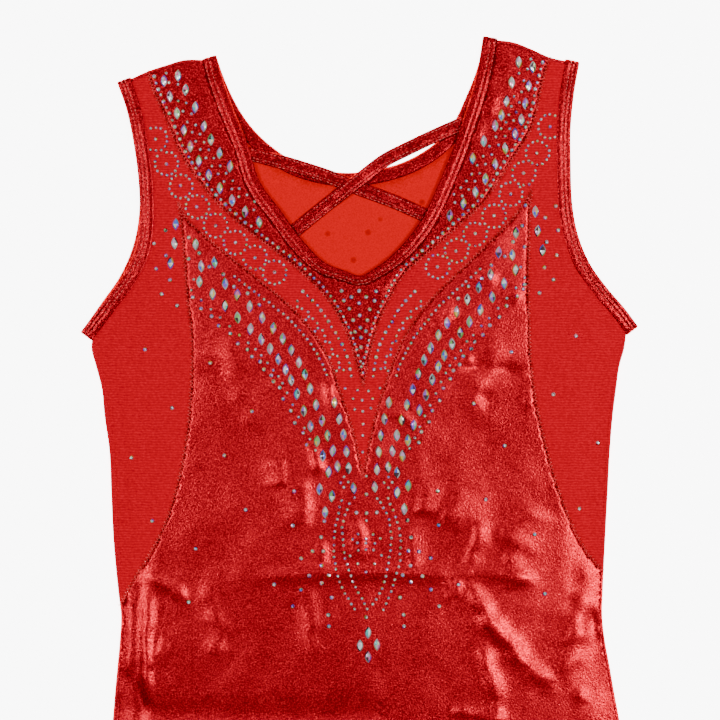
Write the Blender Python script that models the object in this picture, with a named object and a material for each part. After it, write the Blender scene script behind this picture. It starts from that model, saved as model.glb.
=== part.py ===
"""Sleeveless gymnastics leotard, laid flat and face up, at its real size.

The origin is on the table under the middle of the garment. +Y runs to the shoulders, +Z up.
The back lies flat on the table and the front lies on it, with a little air between the two.
Plan sizes in the tables are millimetres.
"""
import math
from collections import namedtuple

import bmesh
import bpy
import numpy as np
from mathutils import Vector
from mathutils.geometry import delaunay_2d_cdt

MM = 0.001

# Walls and layers
CLOTH = 1.2              # thickness of a panel
SEAM_GAP = 0.3           # between neighbouring pieces
FRONT_LIFT = CLOTH + SEAM_GAP
LOFT = 1.9               # air between front and back, away from the closed edges
LOFT_RUN = 26.0          # distance from a closed edge in which the front rises
FOLD_UNDERSIDE = 0.35    # share of a ridge's height that the front's underside follows

# Bindings and straps
BAND_WIDTH = 8.0
BAND_THICK = 1.2
BAND_CORNER = 0.09       # width of a band's rounded edge, as a share of its width
FOLD_STEPS = 6           # sections round a band's turn from front to back
STRAP_WIDTH = 8.3
STRAP_THICK = 1.0
STRAP_HOP = 1.35         # rise of the upper strap where it crosses the lower one
STRAP_HOP_RUN = 12.0

# Raised navette stones
BEAD_LENGTH = 7.8
BEAD_WIDTH = 4.2
BEAD_RISE = 1.1
BEAD_TABLE = 0.5         # flat top of a stone, as a share of its outline
BEAD_CLEAR = 3.2         # plain cloth kept round a stone's middle

# Mesh fineness
EDGE_STEP = 7.0
BAND_STEP = 6.5
TOP_CELL = 14.0
PLAIN_CELL = 26.0
FOLD_STEP = 15.0
FOLD_FEET = (0.0, -0.9, 0.9, -1.9, 1.9)   # rows of points along a fold, in half widths

Point = namedtuple("Point", "x y")
Pair = namedtuple("Pair", "y left right")
Armhole = namedtuple("Armhole", "y front back")
Fold = namedtuple("Fold", "name x0 y0 x1 y1 bow half_width height")
BeadRow = namedtuple("BeadRow", "seam inset_start inset_middle inset_end first pitch count")

# Neckline, free edge of the binding, from the left shoulder to the right one
NECK_FRONT = (
    Point(-85.8, 318.6),
    Point(-83.6, 310.0),
    Point(-76.8, 290.0),
    Point(-67.4, 267.0),
    Point(-60.0, 244.0),
    Point(-47.0, 226.0),
    Point(-34.2, 208.5),
    Point(-21.0, 195.5),
    Point(-9.0, 190.5),
    Point(0.0, 187.6),
    Point(9.8, 192.6),
    Point(22.0, 202.5),
    Point(37.0, 221.7),
    Point(51.6, 253.5),
    Point(62.2, 282.6),
    Point(69.6, 307.5),
    Point(73.6, 330.0),
)
NECK_BACK = (
    Point(-85.8, 318.6),
    Point(-82.4, 308.6),
    Point(-75.0, 292.0),
    Point(-66.0, 278.0),
    Point(-53.4, 265.5),
    Point(-36.0, 254.8),
    Point(-9.0, 249.4),
    Point(19.2, 253.5),
    Point(38.5, 262.4),
    Point(54.0, 276.3),
    Point(64.0, 296.0),
    Point(70.8, 314.0),
    Point(73.6, 330.0),
)

# Shoulder folds between the bindings. The neck foil ends at the first point of each yoke seam
SHOULDER_LEFT_INNER = (Point(-116.4, 313.4), Point(-105.0, 316.6))
SHOULDER_RIGHT_INNER = (Point(102.0, 323.4), Point(92.0, 327.2))

# Armholes, free edge from the shoulder to the underarm. The left back edge shows past the front
ARMHOLE_LEFT = (
    Armhole(302.4, -145.2, -145.2),
    Armhole(287.0, -139.8, -139.4),
    Armhole(267.0, -135.6, -135.0),
    Armhole(244.0, -132.6, -132.4),
    Armhole(222.0, -132.0, -132.8),
    Armhole(204.0, -134.2, -136.6),
    Armhole(187.0, -142.4, -144.2),
    Armhole(172.0, -153.6, -154.6),
    Armhole(155.0, -166.6, -166.6),
)
ARMHOLE_RIGHT = (
    Armhole(314.4, 131.4, 131.4),
    Armhole(298.0, 128.4, 127.8),
    Armhole(276.0, 126.2, 125.4),
    Armhole(255.0, 126.2, 125.4),
    Armhole(230.0, 127.2, 126.4),
    Armhole(212.0, 130.6, 129.8),
    Armhole(195.0, 137.6, 136.8),
    Armhole(180.0, 148.2, 147.6),
    Armhole(168.0, 158.6, 158.2),
    Armhole(158.4, 165.8, 165.8),
)

# Side folds between the armhole binding and the leg binding
SIDES = (
    Pair(144.0, -160.6, 158.0),
    Pair(134.0, -158.0, 155.2),
    Pair(120.0, -154.4, 153.2),
    Pair(104.0, -152.8, 151.2),
    Pair(82.0, -149.8, 149.4),
    Pair(59.0, -148.8, 148.2),
    Pair(29.0, -147.4, 146.6),
    Pair(-1.0, -144.6, 145.2),
    Pair(-16.0, -142.9, 144.8),
    Pair(-31.0, -143.6, 146.4),
    Pair(-46.0, -145.0, 149.2),
    Pair(-61.0, -146.4, 151.8),
    Pair(-78.0, -147.8, 155.0),
    Pair(-105.0, -150.4, 159.8),
)

# Leg openings, free edge from the side to the crotch
LEG_FRONT = (
    Pair(-134.5, -152.6, 162.5),
    Pair(-144.0, -131.0, 140.0),
    Pair(-168.0, -104.0, 111.0),
    Pair(-205.0, -78.0, 83.0),
    Pair(-250.0, -57.0, 60.0),
    Pair(-295.0, -42.0, 43.0),
    Pair(-330.0, -33.0, 33.0),
)
LEG_BACK = (
    Pair(-134.5, -152.6, 162.5),
    Pair(-148.0, -135.0, 144.0),
    Pair(-176.0, -115.0, 122.0),
    Pair(-216.0, -93.0, 97.0),
    Pair(-258.0, -72.0, 75.0),
    Pair(-302.0, -47.0, 48.0),
    Pair(-330.0, -33.0, 33.0),
)

# Seam between the neck foil and the mesh, from the shoulder to the point of its V
YOKE_SEAM_LEFT = (
    Point(-127.2, 309.8),
    Point(-124.0, 299.5),
    Point(-115.5, 280.5),
    Point(-106.8, 260.0),
    Point(-93.0, 239.7),
    Point(-75.6, 221.7),
    Point(-53.4, 204.3),
    Point(-36.0, 190.5),
    Point(-18.6, 172.5),
    Point(-6.0, 148.5),
    Point(-1.8, 134.0),
    Point(1.8, 121.5),
)
YOKE_SEAM_RIGHT = (
    Point(113.4, 318.3),
    Point(109.2, 304.0),
    Point(102.0, 275.1),
    Point(90.0, 255.9),
    Point(75.0, 233.1),
    Point(57.6, 216.3),
    Point(35.4, 197.1),
    Point(25.8, 188.1),
    Point(15.6, 170.1),
    Point(10.2, 157.5),
    Point(5.6, 140.0),
    Point(1.8, 121.5),
)

# Seam between the mesh band and the body foil, from the foil's horn to the mesh's lower V
WING_SEAM_LEFT = (
    Point(-108.6, 231.3),
    Point(-103.8, 221.7),
    Point(-95.4, 213.6),
    Point(-84.6, 204.3),
    Point(-60.6, 185.1),
    Point(-36.0, 163.5),
    Point(-21.0, 142.5),
    Point(-11.4, 116.7),
    Point(-3.4, 90.9),
    Point(1.8, 66.9),
)
WING_SEAM_RIGHT = (
    Point(102.6, 238.5),
    Point(96.6, 228.6),
    Point(88.8, 219.3),
    Point(68.4, 198.9),
    Point(48.6, 179.7),
    Point(38.0, 168.0),
    Point(25.2, 148.5),
    Point(15.6, 123.9),
    Point(7.8, 97.5),
    Point(1.8, 66.9),
)

# Seam between the body foil and the side mesh, from the horn to the side
FLANK_SEAM_LEFT = (
    Point(-108.6, 231.3),
    Point(-106.8, 217.5),
    Point(-105.0, 195.9),
    Point(-103.4, 174.3),
    Point(-100.8, 152.0),
    Point(-100.8, 126.0),
    Point(-103.8, 90.9),
    Point(-108.6, 65.1),
    Point(-115.8, 41.1),
    Point(-125.4, 21.6),
    Point(-135.0, 6.3),
)
FLANK_SEAM_RIGHT = (
    Point(102.6, 238.5),
    Point(101.6, 227.0),
    Point(100.8, 200.0),
    Point(100.8, 174.3),
    Point(101.7, 143.7),
    Point(104.0, 120.0),
    Point(109.8, 90.9),
    Point(118.8, 59.1),
    Point(129.6, 32.7),
    Point(137.0, 20.4),
)
FLANK_END_LEFT = -9.0
FLANK_END_RIGHT = 9.5

# The same seam on the back, from the armhole binding to the side
BACK_SEAM = (
    Pair(205.0, -113.0, 110.0),
    Pair(175.0, -105.0, 104.0),
    Pair(140.0, -101.0, 102.5),
    Pair(105.0, -102.5, 106.0),
    Pair(65.0, -109.0, 116.0),
    Pair(30.0, -121.5, 129.5),
)
BACK_SEAM_START = 233.0

# Straps that cross over the neckline, middle lines, ends tucked under the neck binding
STRAP_UNDER = (
    Point(-67.5, 261.0),
    Point(-43.2, 254.7),
    Point(-19.5, 247.2),
    Point(0.6, 239.4),
    Point(20.0, 232.2),
    Point(42.5, 222.3),
)
STRAP_OVER = (
    Point(-41.9, 212.1), Point(-35.8, 217.2), Point(-26.6, 224.8), Point(-11.9, 236.3),
    Point(0.9, 246.1), Point(14.7, 256.6), Point(26.6, 262.8), Point(43.8, 271.0),
    Point(63.5, 279.7),
)
STRAPS_CROSS = Point(-4.2, 242.2)

# The largest folds of the front. A height below zero is a trough
FOLDS = (
    Fold("long diagonal", 64.0, 4.0, 116.0, -60.0, -4.0, 5.5, 2.4),
    Fold("short slant", 72.0, -34.0, 84.0, -84.0, 2.0, 4.5, 1.7),
    Fold("right hip", 138.0, 14.0, 121.0, -52.0, 3.0, 7.0, 2.2),
    Fold("waist crease", -56.0, 8.0, 60.0, 8.5, 1.5, 4.0, 1.5),
    Fold("waist crease, right end", 58.0, 10.0, 104.0, 5.0, 2.0, 4.0, 1.4),
    Fold("left side, outer", -137.5, 4.0, -138.5, -52.0, 1.0, 3.6, 1.6),
    Fold("left side, inner", -127.0, 0.0, -127.5, -66.0, -2.0, 4.0, 1.8),
    Fold("left flank cross", -128.0, 8.0, -104.0, -6.0, 1.5, 4.0, 1.4),
    Fold("left mesh trough", -141.0, 140.0, -137.0, 18.0, -3.0, 6.0, -0.9),
    Fold("right mesh trough", 142.0, 128.0, 138.0, 44.0, 2.0, 6.0, -0.7),
    Fold("belly trough", -140.0, -72.0, 10.0, -74.0, -3.0, 8.0, -1.2),
    Fold("belly ridge", -120.0, -92.0, 84.0, -98.0, 5.0, 8.0, 1.6),
    Fold("left crotch", -22.0, -292.0, -58.0, -176.0, 5.0, 7.0, 1.6),
    Fold("right crotch", 20.0, -286.0, 70.0, -160.0, -6.0, 7.0, 1.9),
    Fold("left hip", -128.0, -112.0, -60.0, -150.0, -5.0, 6.5, 1.6),
    Fold("right hip, low", 132.0, -104.0, 66.0, -128.0, 4.0, 6.5, 1.4),
)

# Rows of navette stones, placed along the seams. An inset below zero is on the other side
BEAD_ROWS = {
    "neck_foil": (
        BeadRow("yoke", 7.8, 6.9, 8.0, 8.4, 10.85, 11),
        BeadRow("yoke", 16.8, 19.2, 20.2, 8.0, 11.6, 7),
    ),
    "front_body": (
        BeadRow("wing", 7.4, 7.9, 8.4, 25.0, 15.3, 2),
        BeadRow("wing", 15.2, 15.2, 15.2, 35.8, 10.0, 1),
        BeadRow("wing", 14.4, 16.9, 13.6, 53.0, 10.2, 15),
        BeadRow("wing", 21.8, 26.3, 19.5, 30.0, 10.5, 17),
        BeadRow("wing", 5.4, 5.9, 7.4, 157.0, 10.3, 5),
    ),
    "front_mesh": (
        BeadRow("flank", -3.4, -5.2, -8.4, 12.5, 11.6, 3),
    ),
}
# The side of each left seam that its stones lie on, walking down: 1 is towards the middle
BEAD_SIDE = {"yoke": 1.0, "wing": -1.0, "flank": 1.0}
# Single navettes on the body foil under the mesh's lower V
CENTRE_BEADS = (
    Point(-24.2, 59.8),
    Point(-16.8, 55.6),
    Point(-3.9, 60.3),
    Point(8.7, 61.3),
    Point(22.2, 57.8),
    Point(28.9, 62.0),
    Point(-20.9, 46.0),
    Point(26.5, 47.9),
    Point(4.8, -26.1),
    Point(0.0, -33.9),
    Point(10.2, -33.3),
    Point(4.8, -40.5),
)


def smooth_line(rows, step):
    """A smooth curve through the rows, cut into even steps of about the given length."""
    knots = np.array([(row[0], row[1]) for row in rows], dtype=float)
    chords = np.linalg.norm(np.diff(knots, axis=0), axis=1)
    at = np.concatenate(([0.0], np.cumsum(np.sqrt(chords))))
    slopes = np.gradient(knots, at, axis=0)
    fine = []
    for i in range(len(knots) - 1):
        span = at[i + 1] - at[i]
        for t in np.linspace(0.0, 1.0, 24, endpoint=False):
            h00 = 2 * t**3 - 3 * t**2 + 1
            h10 = t**3 - 2 * t**2 + t
            h01 = 3 * t**2 - 2 * t**3
            h11 = t**3 - t**2
            fine.append(h00 * knots[i] + h10 * span * slopes[i]
                        + h01 * knots[i + 1] + h11 * span * slopes[i + 1])
    fine.append(knots[-1])
    fine = np.array(fine)
    run = np.concatenate(([0.0], np.cumsum(np.linalg.norm(np.diff(fine, axis=0), axis=1))))
    count = max(1, round(run[-1] / step))
    stops = np.linspace(0.0, run[-1], count + 1)
    return np.column_stack((np.interp(stops, run, fine[:, 0]), np.interp(stops, run, fine[:, 1])))


def side_rows(rows, side):
    """The x, y rows of one side of a table that gives both sides."""
    return [(getattr(row, side), row.y) for row in rows]


def normals(line, closed=False):
    """Mitred normals of a line, pointing to its left."""
    ahead = np.roll(line, -1, axis=0) - line
    behind = line - np.roll(line, 1, axis=0)
    if not closed:
        ahead[-1] = behind[-1]
        behind[0] = ahead[0]
    ahead /= np.linalg.norm(ahead, axis=1)[:, None]
    behind /= np.linalg.norm(behind, axis=1)[:, None]
    middle = ahead + behind
    middle /= np.linalg.norm(middle, axis=1)[:, None]
    stretch = 1.0 / np.maximum(np.sum(middle * ahead, axis=1), 0.35)
    return np.column_stack((-middle[:, 1], middle[:, 0])) * stretch[:, None]


def offset_line(line, distance, closed=False):
    return line + normals(line, closed) * distance


def run_along(line, distance):
    """The point and the left normal at a distance along a line."""
    run = np.concatenate(([0.0], np.cumsum(np.linalg.norm(np.diff(line, axis=0), axis=1))))
    n = normals(line)
    place = np.array([np.interp(distance, run, line[:, k]) for k in (0, 1)])
    left = np.array([np.interp(distance, run, n[:, k]) for k in (0, 1)])
    return place, left / np.linalg.norm(left)


def nearest_row(line, y):
    return int(np.argmin(np.abs(line[:, 1] - y)))


def signed_area(loop):
    x, y = loop[:, 0], loop[:, 1]
    return 0.5 * float(np.sum(x * np.roll(y, -1) - np.roll(x, -1) * y))


def chain(*lines):
    """One closed loop, anticlockwise, from lines that meet end to end."""
    points = []
    for line in lines:
        for point in line:
            if not points or np.linalg.norm(points[-1] - point) > 0.05:
                points.append(np.array(point, dtype=float))
    if np.linalg.norm(points[0] - points[-1]) < 0.05:
        points.pop()
    loop = np.array(points)
    return loop if signed_area(loop) > 0 else loop[::-1]


def smoothstep(t):
    t = np.clip(t, 0.0, 1.0)
    return t * t * (3.0 - 2.0 * t)


def distance_to(points, line):
    """Distance from each point to a line of segments."""
    start, end = line[:-1], line[1:]
    along = end - start
    rel = points[:, None, :] - start[None]
    t = np.clip(np.sum(rel * along, axis=2) / np.sum(along * along, axis=1), 0.0, 1.0)
    return np.linalg.norm(rel - t[..., None] * along, axis=2).min(axis=1)


def inside(points, loop):
    """Which of the points lie inside a closed loop."""
    x, y = points[:, 0][:, None], points[:, 1][:, None]
    x0, y0 = loop[:, 0], loop[:, 1]
    x1, y1 = np.roll(x0, -1), np.roll(y0, -1)
    rise = np.where(y1 == y0, 1e-12, y1 - y0)
    crosses = ((y0 > y) != (y1 > y)) & (x < x0 + (y - y0) * (x1 - x0) / rise)
    return crosses.sum(axis=1) % 2 == 1


class Plan:
    """Every line of the garment in the plane of the table."""

    def __init__(self):
        self.free = {
            "neck_front": smooth_line(NECK_FRONT, BAND_STEP),
            "neck_back": smooth_line(NECK_BACK, BAND_STEP),
            "arm_left_front": smooth_line(side_rows(ARMHOLE_LEFT, "front"), BAND_STEP),
            "arm_left_back": smooth_line(side_rows(ARMHOLE_LEFT, "back"), BAND_STEP),
            "arm_right_front": smooth_line(side_rows(ARMHOLE_RIGHT, "front"), BAND_STEP),
            "arm_right_back": smooth_line(side_rows(ARMHOLE_RIGHT, "back"), BAND_STEP),
            "leg_left_front": smooth_line(side_rows(LEG_FRONT, "left"), BAND_STEP),
            "leg_left_back": smooth_line(side_rows(LEG_BACK, "left"), BAND_STEP),
            "leg_right_front": smooth_line(side_rows(LEG_FRONT, "right"), BAND_STEP),
            "leg_right_back": smooth_line(side_rows(LEG_BACK, "right"), BAND_STEP),
        }
        # Which side of its free edge the garment is on, walking down from the shoulder
        self.inward = {name: 1.0 for name in self.free}
        for name in ("neck_front", "neck_back", "arm_right_front", "arm_right_back",
                     "leg_right_front", "leg_right_back"):
            self.inward[name] = -1.0
        self.edge = {name: offset_line(line, self.inward[name] * (BAND_WIDTH + SEAM_GAP / 2))
                     for name, line in self.free.items()}
        self.folded_edges = [
            self.fold_line("arm_left_front", 0, "neck_front", 0),
            self.fold_line("arm_right_front", 0, "neck_front", -1),
            self.fold_line("leg_left_front", -1, "leg_right_front", -1),
            self.side_line("left", "front"),
            self.side_line("right", "front"),
        ]

    def fold_line(self, name_a, end_a, name_b, end_b):
        return np.array([self.free[name_a][end_a], self.edge[name_a][end_a],
                         self.edge[name_b][end_b], self.free[name_b][end_b]])

    def side_line(self, side, face):
        arm = self.edge["arm_%s_%s" % (side, face)]
        leg = self.edge["leg_%s_%s" % (side, face)]
        rows = [tuple(arm[-1])] + side_rows(SIDES, side) + [tuple(leg[0])]
        return smooth_line(rows, EDGE_STEP)

    def shoulder(self, side, face, part):
        """The shoulder fold: its outer part on the mesh, its inner part on the neck foil."""
        arm = tuple(self.edge["arm_%s_%s" % (side, face)][0])
        neck = tuple(self.edge["neck_" + face][0 if side == "left" else -1])
        corner = (YOKE_SEAM_LEFT if side == "left" else YOKE_SEAM_RIGHT)[0]
        middle = SHOULDER_LEFT_INNER if side == "left" else SHOULDER_RIGHT_INNER
        rows = {"outer": [arm, corner], "inner": [corner, *middle, neck],
                "whole": [arm, corner, *middle, neck]}[part]
        return smooth_line(rows, EDGE_STEP)


def loft_height(points, plan):
    near = np.min([distance_to(points, line) for line in plan.folded_edges], axis=0)
    return LOFT * smoothstep(near / LOFT_RUN)


def fold_height(points):
    """Height of the front's folds: soft ridges and troughs that die out at both ends."""
    height = np.zeros(len(points))
    for fold in FOLDS:
        start = np.array((fold.x0, fold.y0))
        along = np.array((fold.x1, fold.y1)) - start
        length = np.linalg.norm(along)
        along /= length
        across = np.array((-along[1], along[0]))
        rel = points - start
        t = rel @ along / length
        crest = fold.bow * 4.0 * t * (1.0 - t)
        aside = (rel @ across - crest) / fold.half_width
        ends = smoothstep((t + 0.12) / 0.3) * smoothstep((1.12 - t) / 0.3)
        height += fold.height * np.exp(-aside**2) * ends
    return height


def front_under(points, plan):
    fold = fold_height(points)
    return FRONT_LIFT + loft_height(points, plan) + np.where(fold > 0, fold * FOLD_UNDERSIDE, fold)


def front_over(points, plan):
    return FRONT_LIFT + loft_height(points, plan) + fold_height(points) + CLOTH


def bead_outline(centre, scale):
    """Six corners of a pointed oval stone, long axis along the garment."""
    half_l, half_w = BEAD_LENGTH / 2 * scale, BEAD_WIDTH / 2 * scale
    corners = ((0.0, half_l), (-half_w, half_l * 0.3), (-half_w, -half_l * 0.3),
               (0.0, -half_l), (half_w, -half_l * 0.3), (half_w, half_l * 0.3))
    return np.array([(centre[0] + x, centre[1] + y) for x, y in corners])


def bead_places(node, seams):
    """The middles of the stones on a panel, in rows that follow its seams."""
    places = []
    for row in BEAD_ROWS.get(node, ()):
        for side, mirror in (("left", 1.0), ("right", -1.0)):
            line = seams[row.seam + "_" + side]
            inward = BEAD_SIDE[row.seam] * mirror
            for k in range(row.count):
                t = k / max(1, row.count - 1)
                inset = ((1 - t) * (1 - 2 * t) * row.inset_start + 4 * t * (1 - t) * row.inset_middle
                         + t * (2 * t - 1) * row.inset_end)
                place, left = run_along(line, row.first + k * row.pitch)
                places.append(place + left * inward * inset)
    if node == "front_body":
        places.extend(np.array(point) for point in CENTRE_BEADS)
    return places


def seated_beads(places, edge):
    """The stones that lie whole on a panel and clear of the stones before them."""
    closed = np.vstack((edge, edge[:1]))
    reach = np.array((BEAD_WIDTH, BEAD_LENGTH)) + SEAM_GAP
    seated = []
    for place in places:
        outline = bead_outline(place, 1.0)
        if not inside(outline, edge).all() or distance_to(outline, closed).min() < SEAM_GAP:
            continue
        if all(np.linalg.norm((place - other) / reach) > 1.0 for other in seated):
            seated.append(place)
    return seated


def grid_points(loop, cell, clear):
    """Points of a staggered grid inside a loop, kept clear of its edge."""
    low, high = loop.min(axis=0), loop.max(axis=0)
    points = []
    for row, y in enumerate(np.arange(low[1] + cell / 2, high[1], cell * 0.87)):
        for x in np.arange(low[0] + cell * (0.25 + 0.5 * (row % 2)), high[0], cell):
            points.append((x, y))
    points = np.array(points)
    points = points[inside(points, loop)]
    closed = np.vstack((loop, loop[:1]))
    return points[distance_to(points, closed) > clear]


def fold_points(loop, step):
    """Extra points on the crests and feet of the folds that cross a panel."""
    points = []
    for fold in FOLDS:
        start = np.array((fold.x0, fold.y0))
        along = np.array((fold.x1, fold.y1)) - start
        length = np.linalg.norm(along)
        along /= length
        across = np.array((-along[1], along[0]))
        for t in np.linspace(0.02, 0.98, max(3, round(length / step))):
            crest = start + along * t * length + across * fold.bow * 4.0 * t * (1.0 - t)
            for shift in FOLD_FEET:
                points.append(crest + across * shift * fold.half_width)
    points = np.array(points)
    points = points[inside(points, loop)]
    closed = np.vstack((loop, loop[:1]))
    return points[distance_to(points, closed) > 3.0]


def thin_out(points, apart):
    """Points in order, leaving out each that lies too near an earlier one."""
    chosen = []
    for point in points:
        if not chosen or np.min(np.linalg.norm(np.array(chosen) - point, axis=1)) > apart:
            chosen.append(point)
    return np.array(chosen)


def triangles_inside(loop, rings, loose):
    """Triangles over a loop, with closed rings kept as edges and loose points taken in."""
    verts = [Vector((float(p[0]), float(p[1]))) for p in loop]
    edges = [(i, (i + 1) % len(loop)) for i in range(len(loop))]
    for ring in rings:
        first = len(verts)
        verts += [Vector((float(p[0]), float(p[1]))) for p in ring]
        edges += [(first + i, first + (i + 1) % len(ring)) for i in range(len(ring))]
    verts += [Vector((float(p[0]), float(p[1]))) for p in loose]
    out_verts, _, faces, *_ = delaunay_2d_cdt(verts, edges, [], 1, 1e-6)
    if len(out_verts) != len(verts):
        raise ValueError("a panel's lines cross: %d points became %d" % (len(verts), len(out_verts)))
    return np.array([(v.x, v.y) for v in out_verts]), [tuple(face) for face in faces]


def add_object(name, verts, faces, material):
    mesh = bpy.data.meshes.new(name)
    mesh.from_pydata([(x * MM, y * MM, z * MM) for x, y, z in verts], [], faces)
    mesh.materials.append(material)
    bm = bmesh.new()
    bm.from_mesh(mesh)
    bmesh.ops.recalc_face_normals(bm, faces=bm.faces)
    bmesh.ops.triangulate(bm, faces=bm.faces)
    bm.to_mesh(mesh)
    bm.free()
    mesh.shade_smooth()
    mesh.set_sharp_from_angle(angle=math.radians(40))
    obj = bpy.data.objects.new(name, mesh)
    bpy.context.scene.collection.objects.link(obj)
    return obj


def panel(name, loop, under, over, material, cell, beads=(), folds=False):
    """A closed wall of cloth over a loop, between an underside and an outer face."""
    edge = offset_line(loop, SEAM_GAP / 2, closed=True)
    beads = seated_beads(beads, edge)
    rings, heights = [], []
    for centre in beads:
        for scale, rise in ((1.0, 0.0), (BEAD_TABLE, BEAD_RISE)):
            ring = bead_outline(centre, scale)
            rings.append(ring)
            heights.append(over(ring) + rise)
    loose = grid_points(edge, cell, cell * 0.42)
    if folds:
        loose = np.vstack((fold_points(edge, FOLD_STEP), loose))
        loose = thin_out(loose, cell * 0.35)
    if len(beads):
        middles = np.array(beads)
        apart = (loose[:, None, :] - middles[None]) / (BEAD_WIDTH / 2 + BEAD_CLEAR / 2,
                                                     BEAD_LENGTH / 2 + BEAD_CLEAR / 2)
        loose = loose[np.linalg.norm(apart, axis=2).min(axis=1) > 1.0]
    top, top_faces = triangles_inside(edge, rings, loose)
    top_z = over(top)
    row = len(edge)
    for ring, height in zip(rings, heights):
        top_z[row:row + len(ring)] = height
        row += len(ring)
    plain = grid_points(edge, PLAIN_CELL, PLAIN_CELL * 0.35) if folds else np.zeros((0, 2))
    low, low_faces = triangles_inside(edge, (), plain)
    low_z = under(low)
    verts = [(x, y, z) for (x, y), z in zip(top, top_z)]
    base = len(verts)
    verts += [(x, y, z) for (x, y), z in zip(low, low_z)]
    faces = list(top_faces)
    faces += [tuple(base + i for i in reversed(face)) for face in low_faces]
    for i in range(len(edge)):
        j = (i + 1) % len(edge)
        faces.append((base + i, base + j, j, i))
    return add_object(name, verts, faces, material)


def band_section(free, inner, z_free, z_inner, up, half):
    """Six corners across a band, from its free edge to its inner edge and back."""
    corners = []
    for across, side in ((0.0, 0.0), (BAND_CORNER, 1.0), (1.0 - BAND_CORNER, 1.0),
                         (1.0, 0.0), (1.0 - BAND_CORNER, -1.0), (BAND_CORNER, -1.0)):
        plan_point = free + (inner - free) * across
        z = z_free + (z_inner - z_free) * across
        corners.append((plan_point[0] + up[0] * side * half, plan_point[1] + up[1] * side * half,
                        z + up[2] * side * half))
    return corners


def binding(name, front, back, plan, material):
    """A closed strip round an opening: along the front, over the fold, back along the back."""
    half = BAND_THICK / 2
    sections = []

    def lines(key):
        free = plan.free[key]
        inner = offset_line(free, plan.inward[key] * BAND_WIDTH)
        return free, inner

    free_f, inner_f = lines(front)
    free_b, inner_b = lines(back)
    z_free = front_under(free_f, plan) + half
    z_inner = front_under(inner_f, plan) + half
    for i in range(len(free_f)):
        sections.append(band_section(free_f[i], inner_f[i], z_free[i], z_inner[i], (0, 0, 1), half))

    def turn(end, reverse):
        """Sections round the fold at one end of the opening, from front to back."""
        step = 1 if end == 0 else -1
        out = free_f[end] + inner_f[end] - free_f[end + step] - inner_f[end + step]
        across = inner_f[end] - free_f[end]
        square = np.array((-across[1], across[0]))
        if square @ out < 0:
            square = -square
        square /= np.linalg.norm(square)
        rows = []
        for k in range(1, FOLD_STEPS):
            angle = math.pi * k / FOLD_STEPS
            share = (1 - math.cos(angle)) / 2
            radius = (z_free[end] - half) / 2
            middle = (z_free[end] + half) / 2
            shift = square * radius * math.sin(angle)
            free = free_f[end] * (1 - share) + free_b[end] * share + shift
            inner = inner_f[end] * (1 - share) + inner_b[end] * share + shift
            z = middle + radius * math.cos(angle)
            up = (square[0] * math.sin(angle), square[1] * math.sin(angle), math.cos(angle))
            rows.append(band_section(free, inner, z, z, up, half))
        return rows[::-1] if reverse else rows

    sections += turn(-1, False)
    for i in reversed(range(len(free_b))):
        sections.append(band_section(free_b[i], inner_b[i], half, half, (0, 0, -1), half))
    sections += turn(0, True)
    count = len(sections[0])
    verts = [corner for section in sections for corner in section]
    faces = []
    for i in range(len(sections)):
        j = (i + 1) % len(sections)
        for k in range(count):
            m = (k + 1) % count
            faces.append((i * count + k, i * count + m, j * count + m, j * count + k))
    return add_object(name, verts, faces, material)


def strap(name, rows, hop, material):
    """A flat tube of cloth between the front's and the back's neckline."""
    middle = smooth_line(rows, BAND_STEP)
    free = offset_line(middle, STRAP_WIDTH / 2)
    inner = offset_line(middle, -STRAP_WIDTH / 2)
    half = STRAP_THICK / 2
    apart = np.linalg.norm(middle - np.array(STRAPS_CROSS), axis=1)
    z = FRONT_LIFT + half + hop * np.exp(-(apart / STRAP_HOP_RUN)**4)
    sections = [band_section(free[i], inner[i], z[i], z[i], (0, 0, 1), half)
                for i in range(len(middle))]
    count = len(sections[0])
    verts = [corner for section in sections for corner in section]
    faces = []
    for i in range(len(sections) - 1):
        for k in range(count):
            m = (k + 1) % count
            faces.append((i * count + k, i * count + m, (i + 1) * count + m, (i + 1) * count + k))
    last = (len(sections) - 1) * count
    faces.append(tuple(range(count)))
    faces.append(tuple(last + k for k in range(count)))
    return add_object(name, verts, faces, material)


def cloth_material(name, colour, roughness, metallic):
    material = bpy.data.materials.new(name)
    material.use_nodes = True
    shader = material.node_tree.nodes["Principled BSDF"]
    shader.inputs["Base Color"].default_value = (*colour, 1.0)
    shader.inputs["Roughness"].default_value = roughness
    shader.inputs["Metallic"].default_value = metallic
    material.diffuse_color = (*colour, 1.0)
    return material


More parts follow.
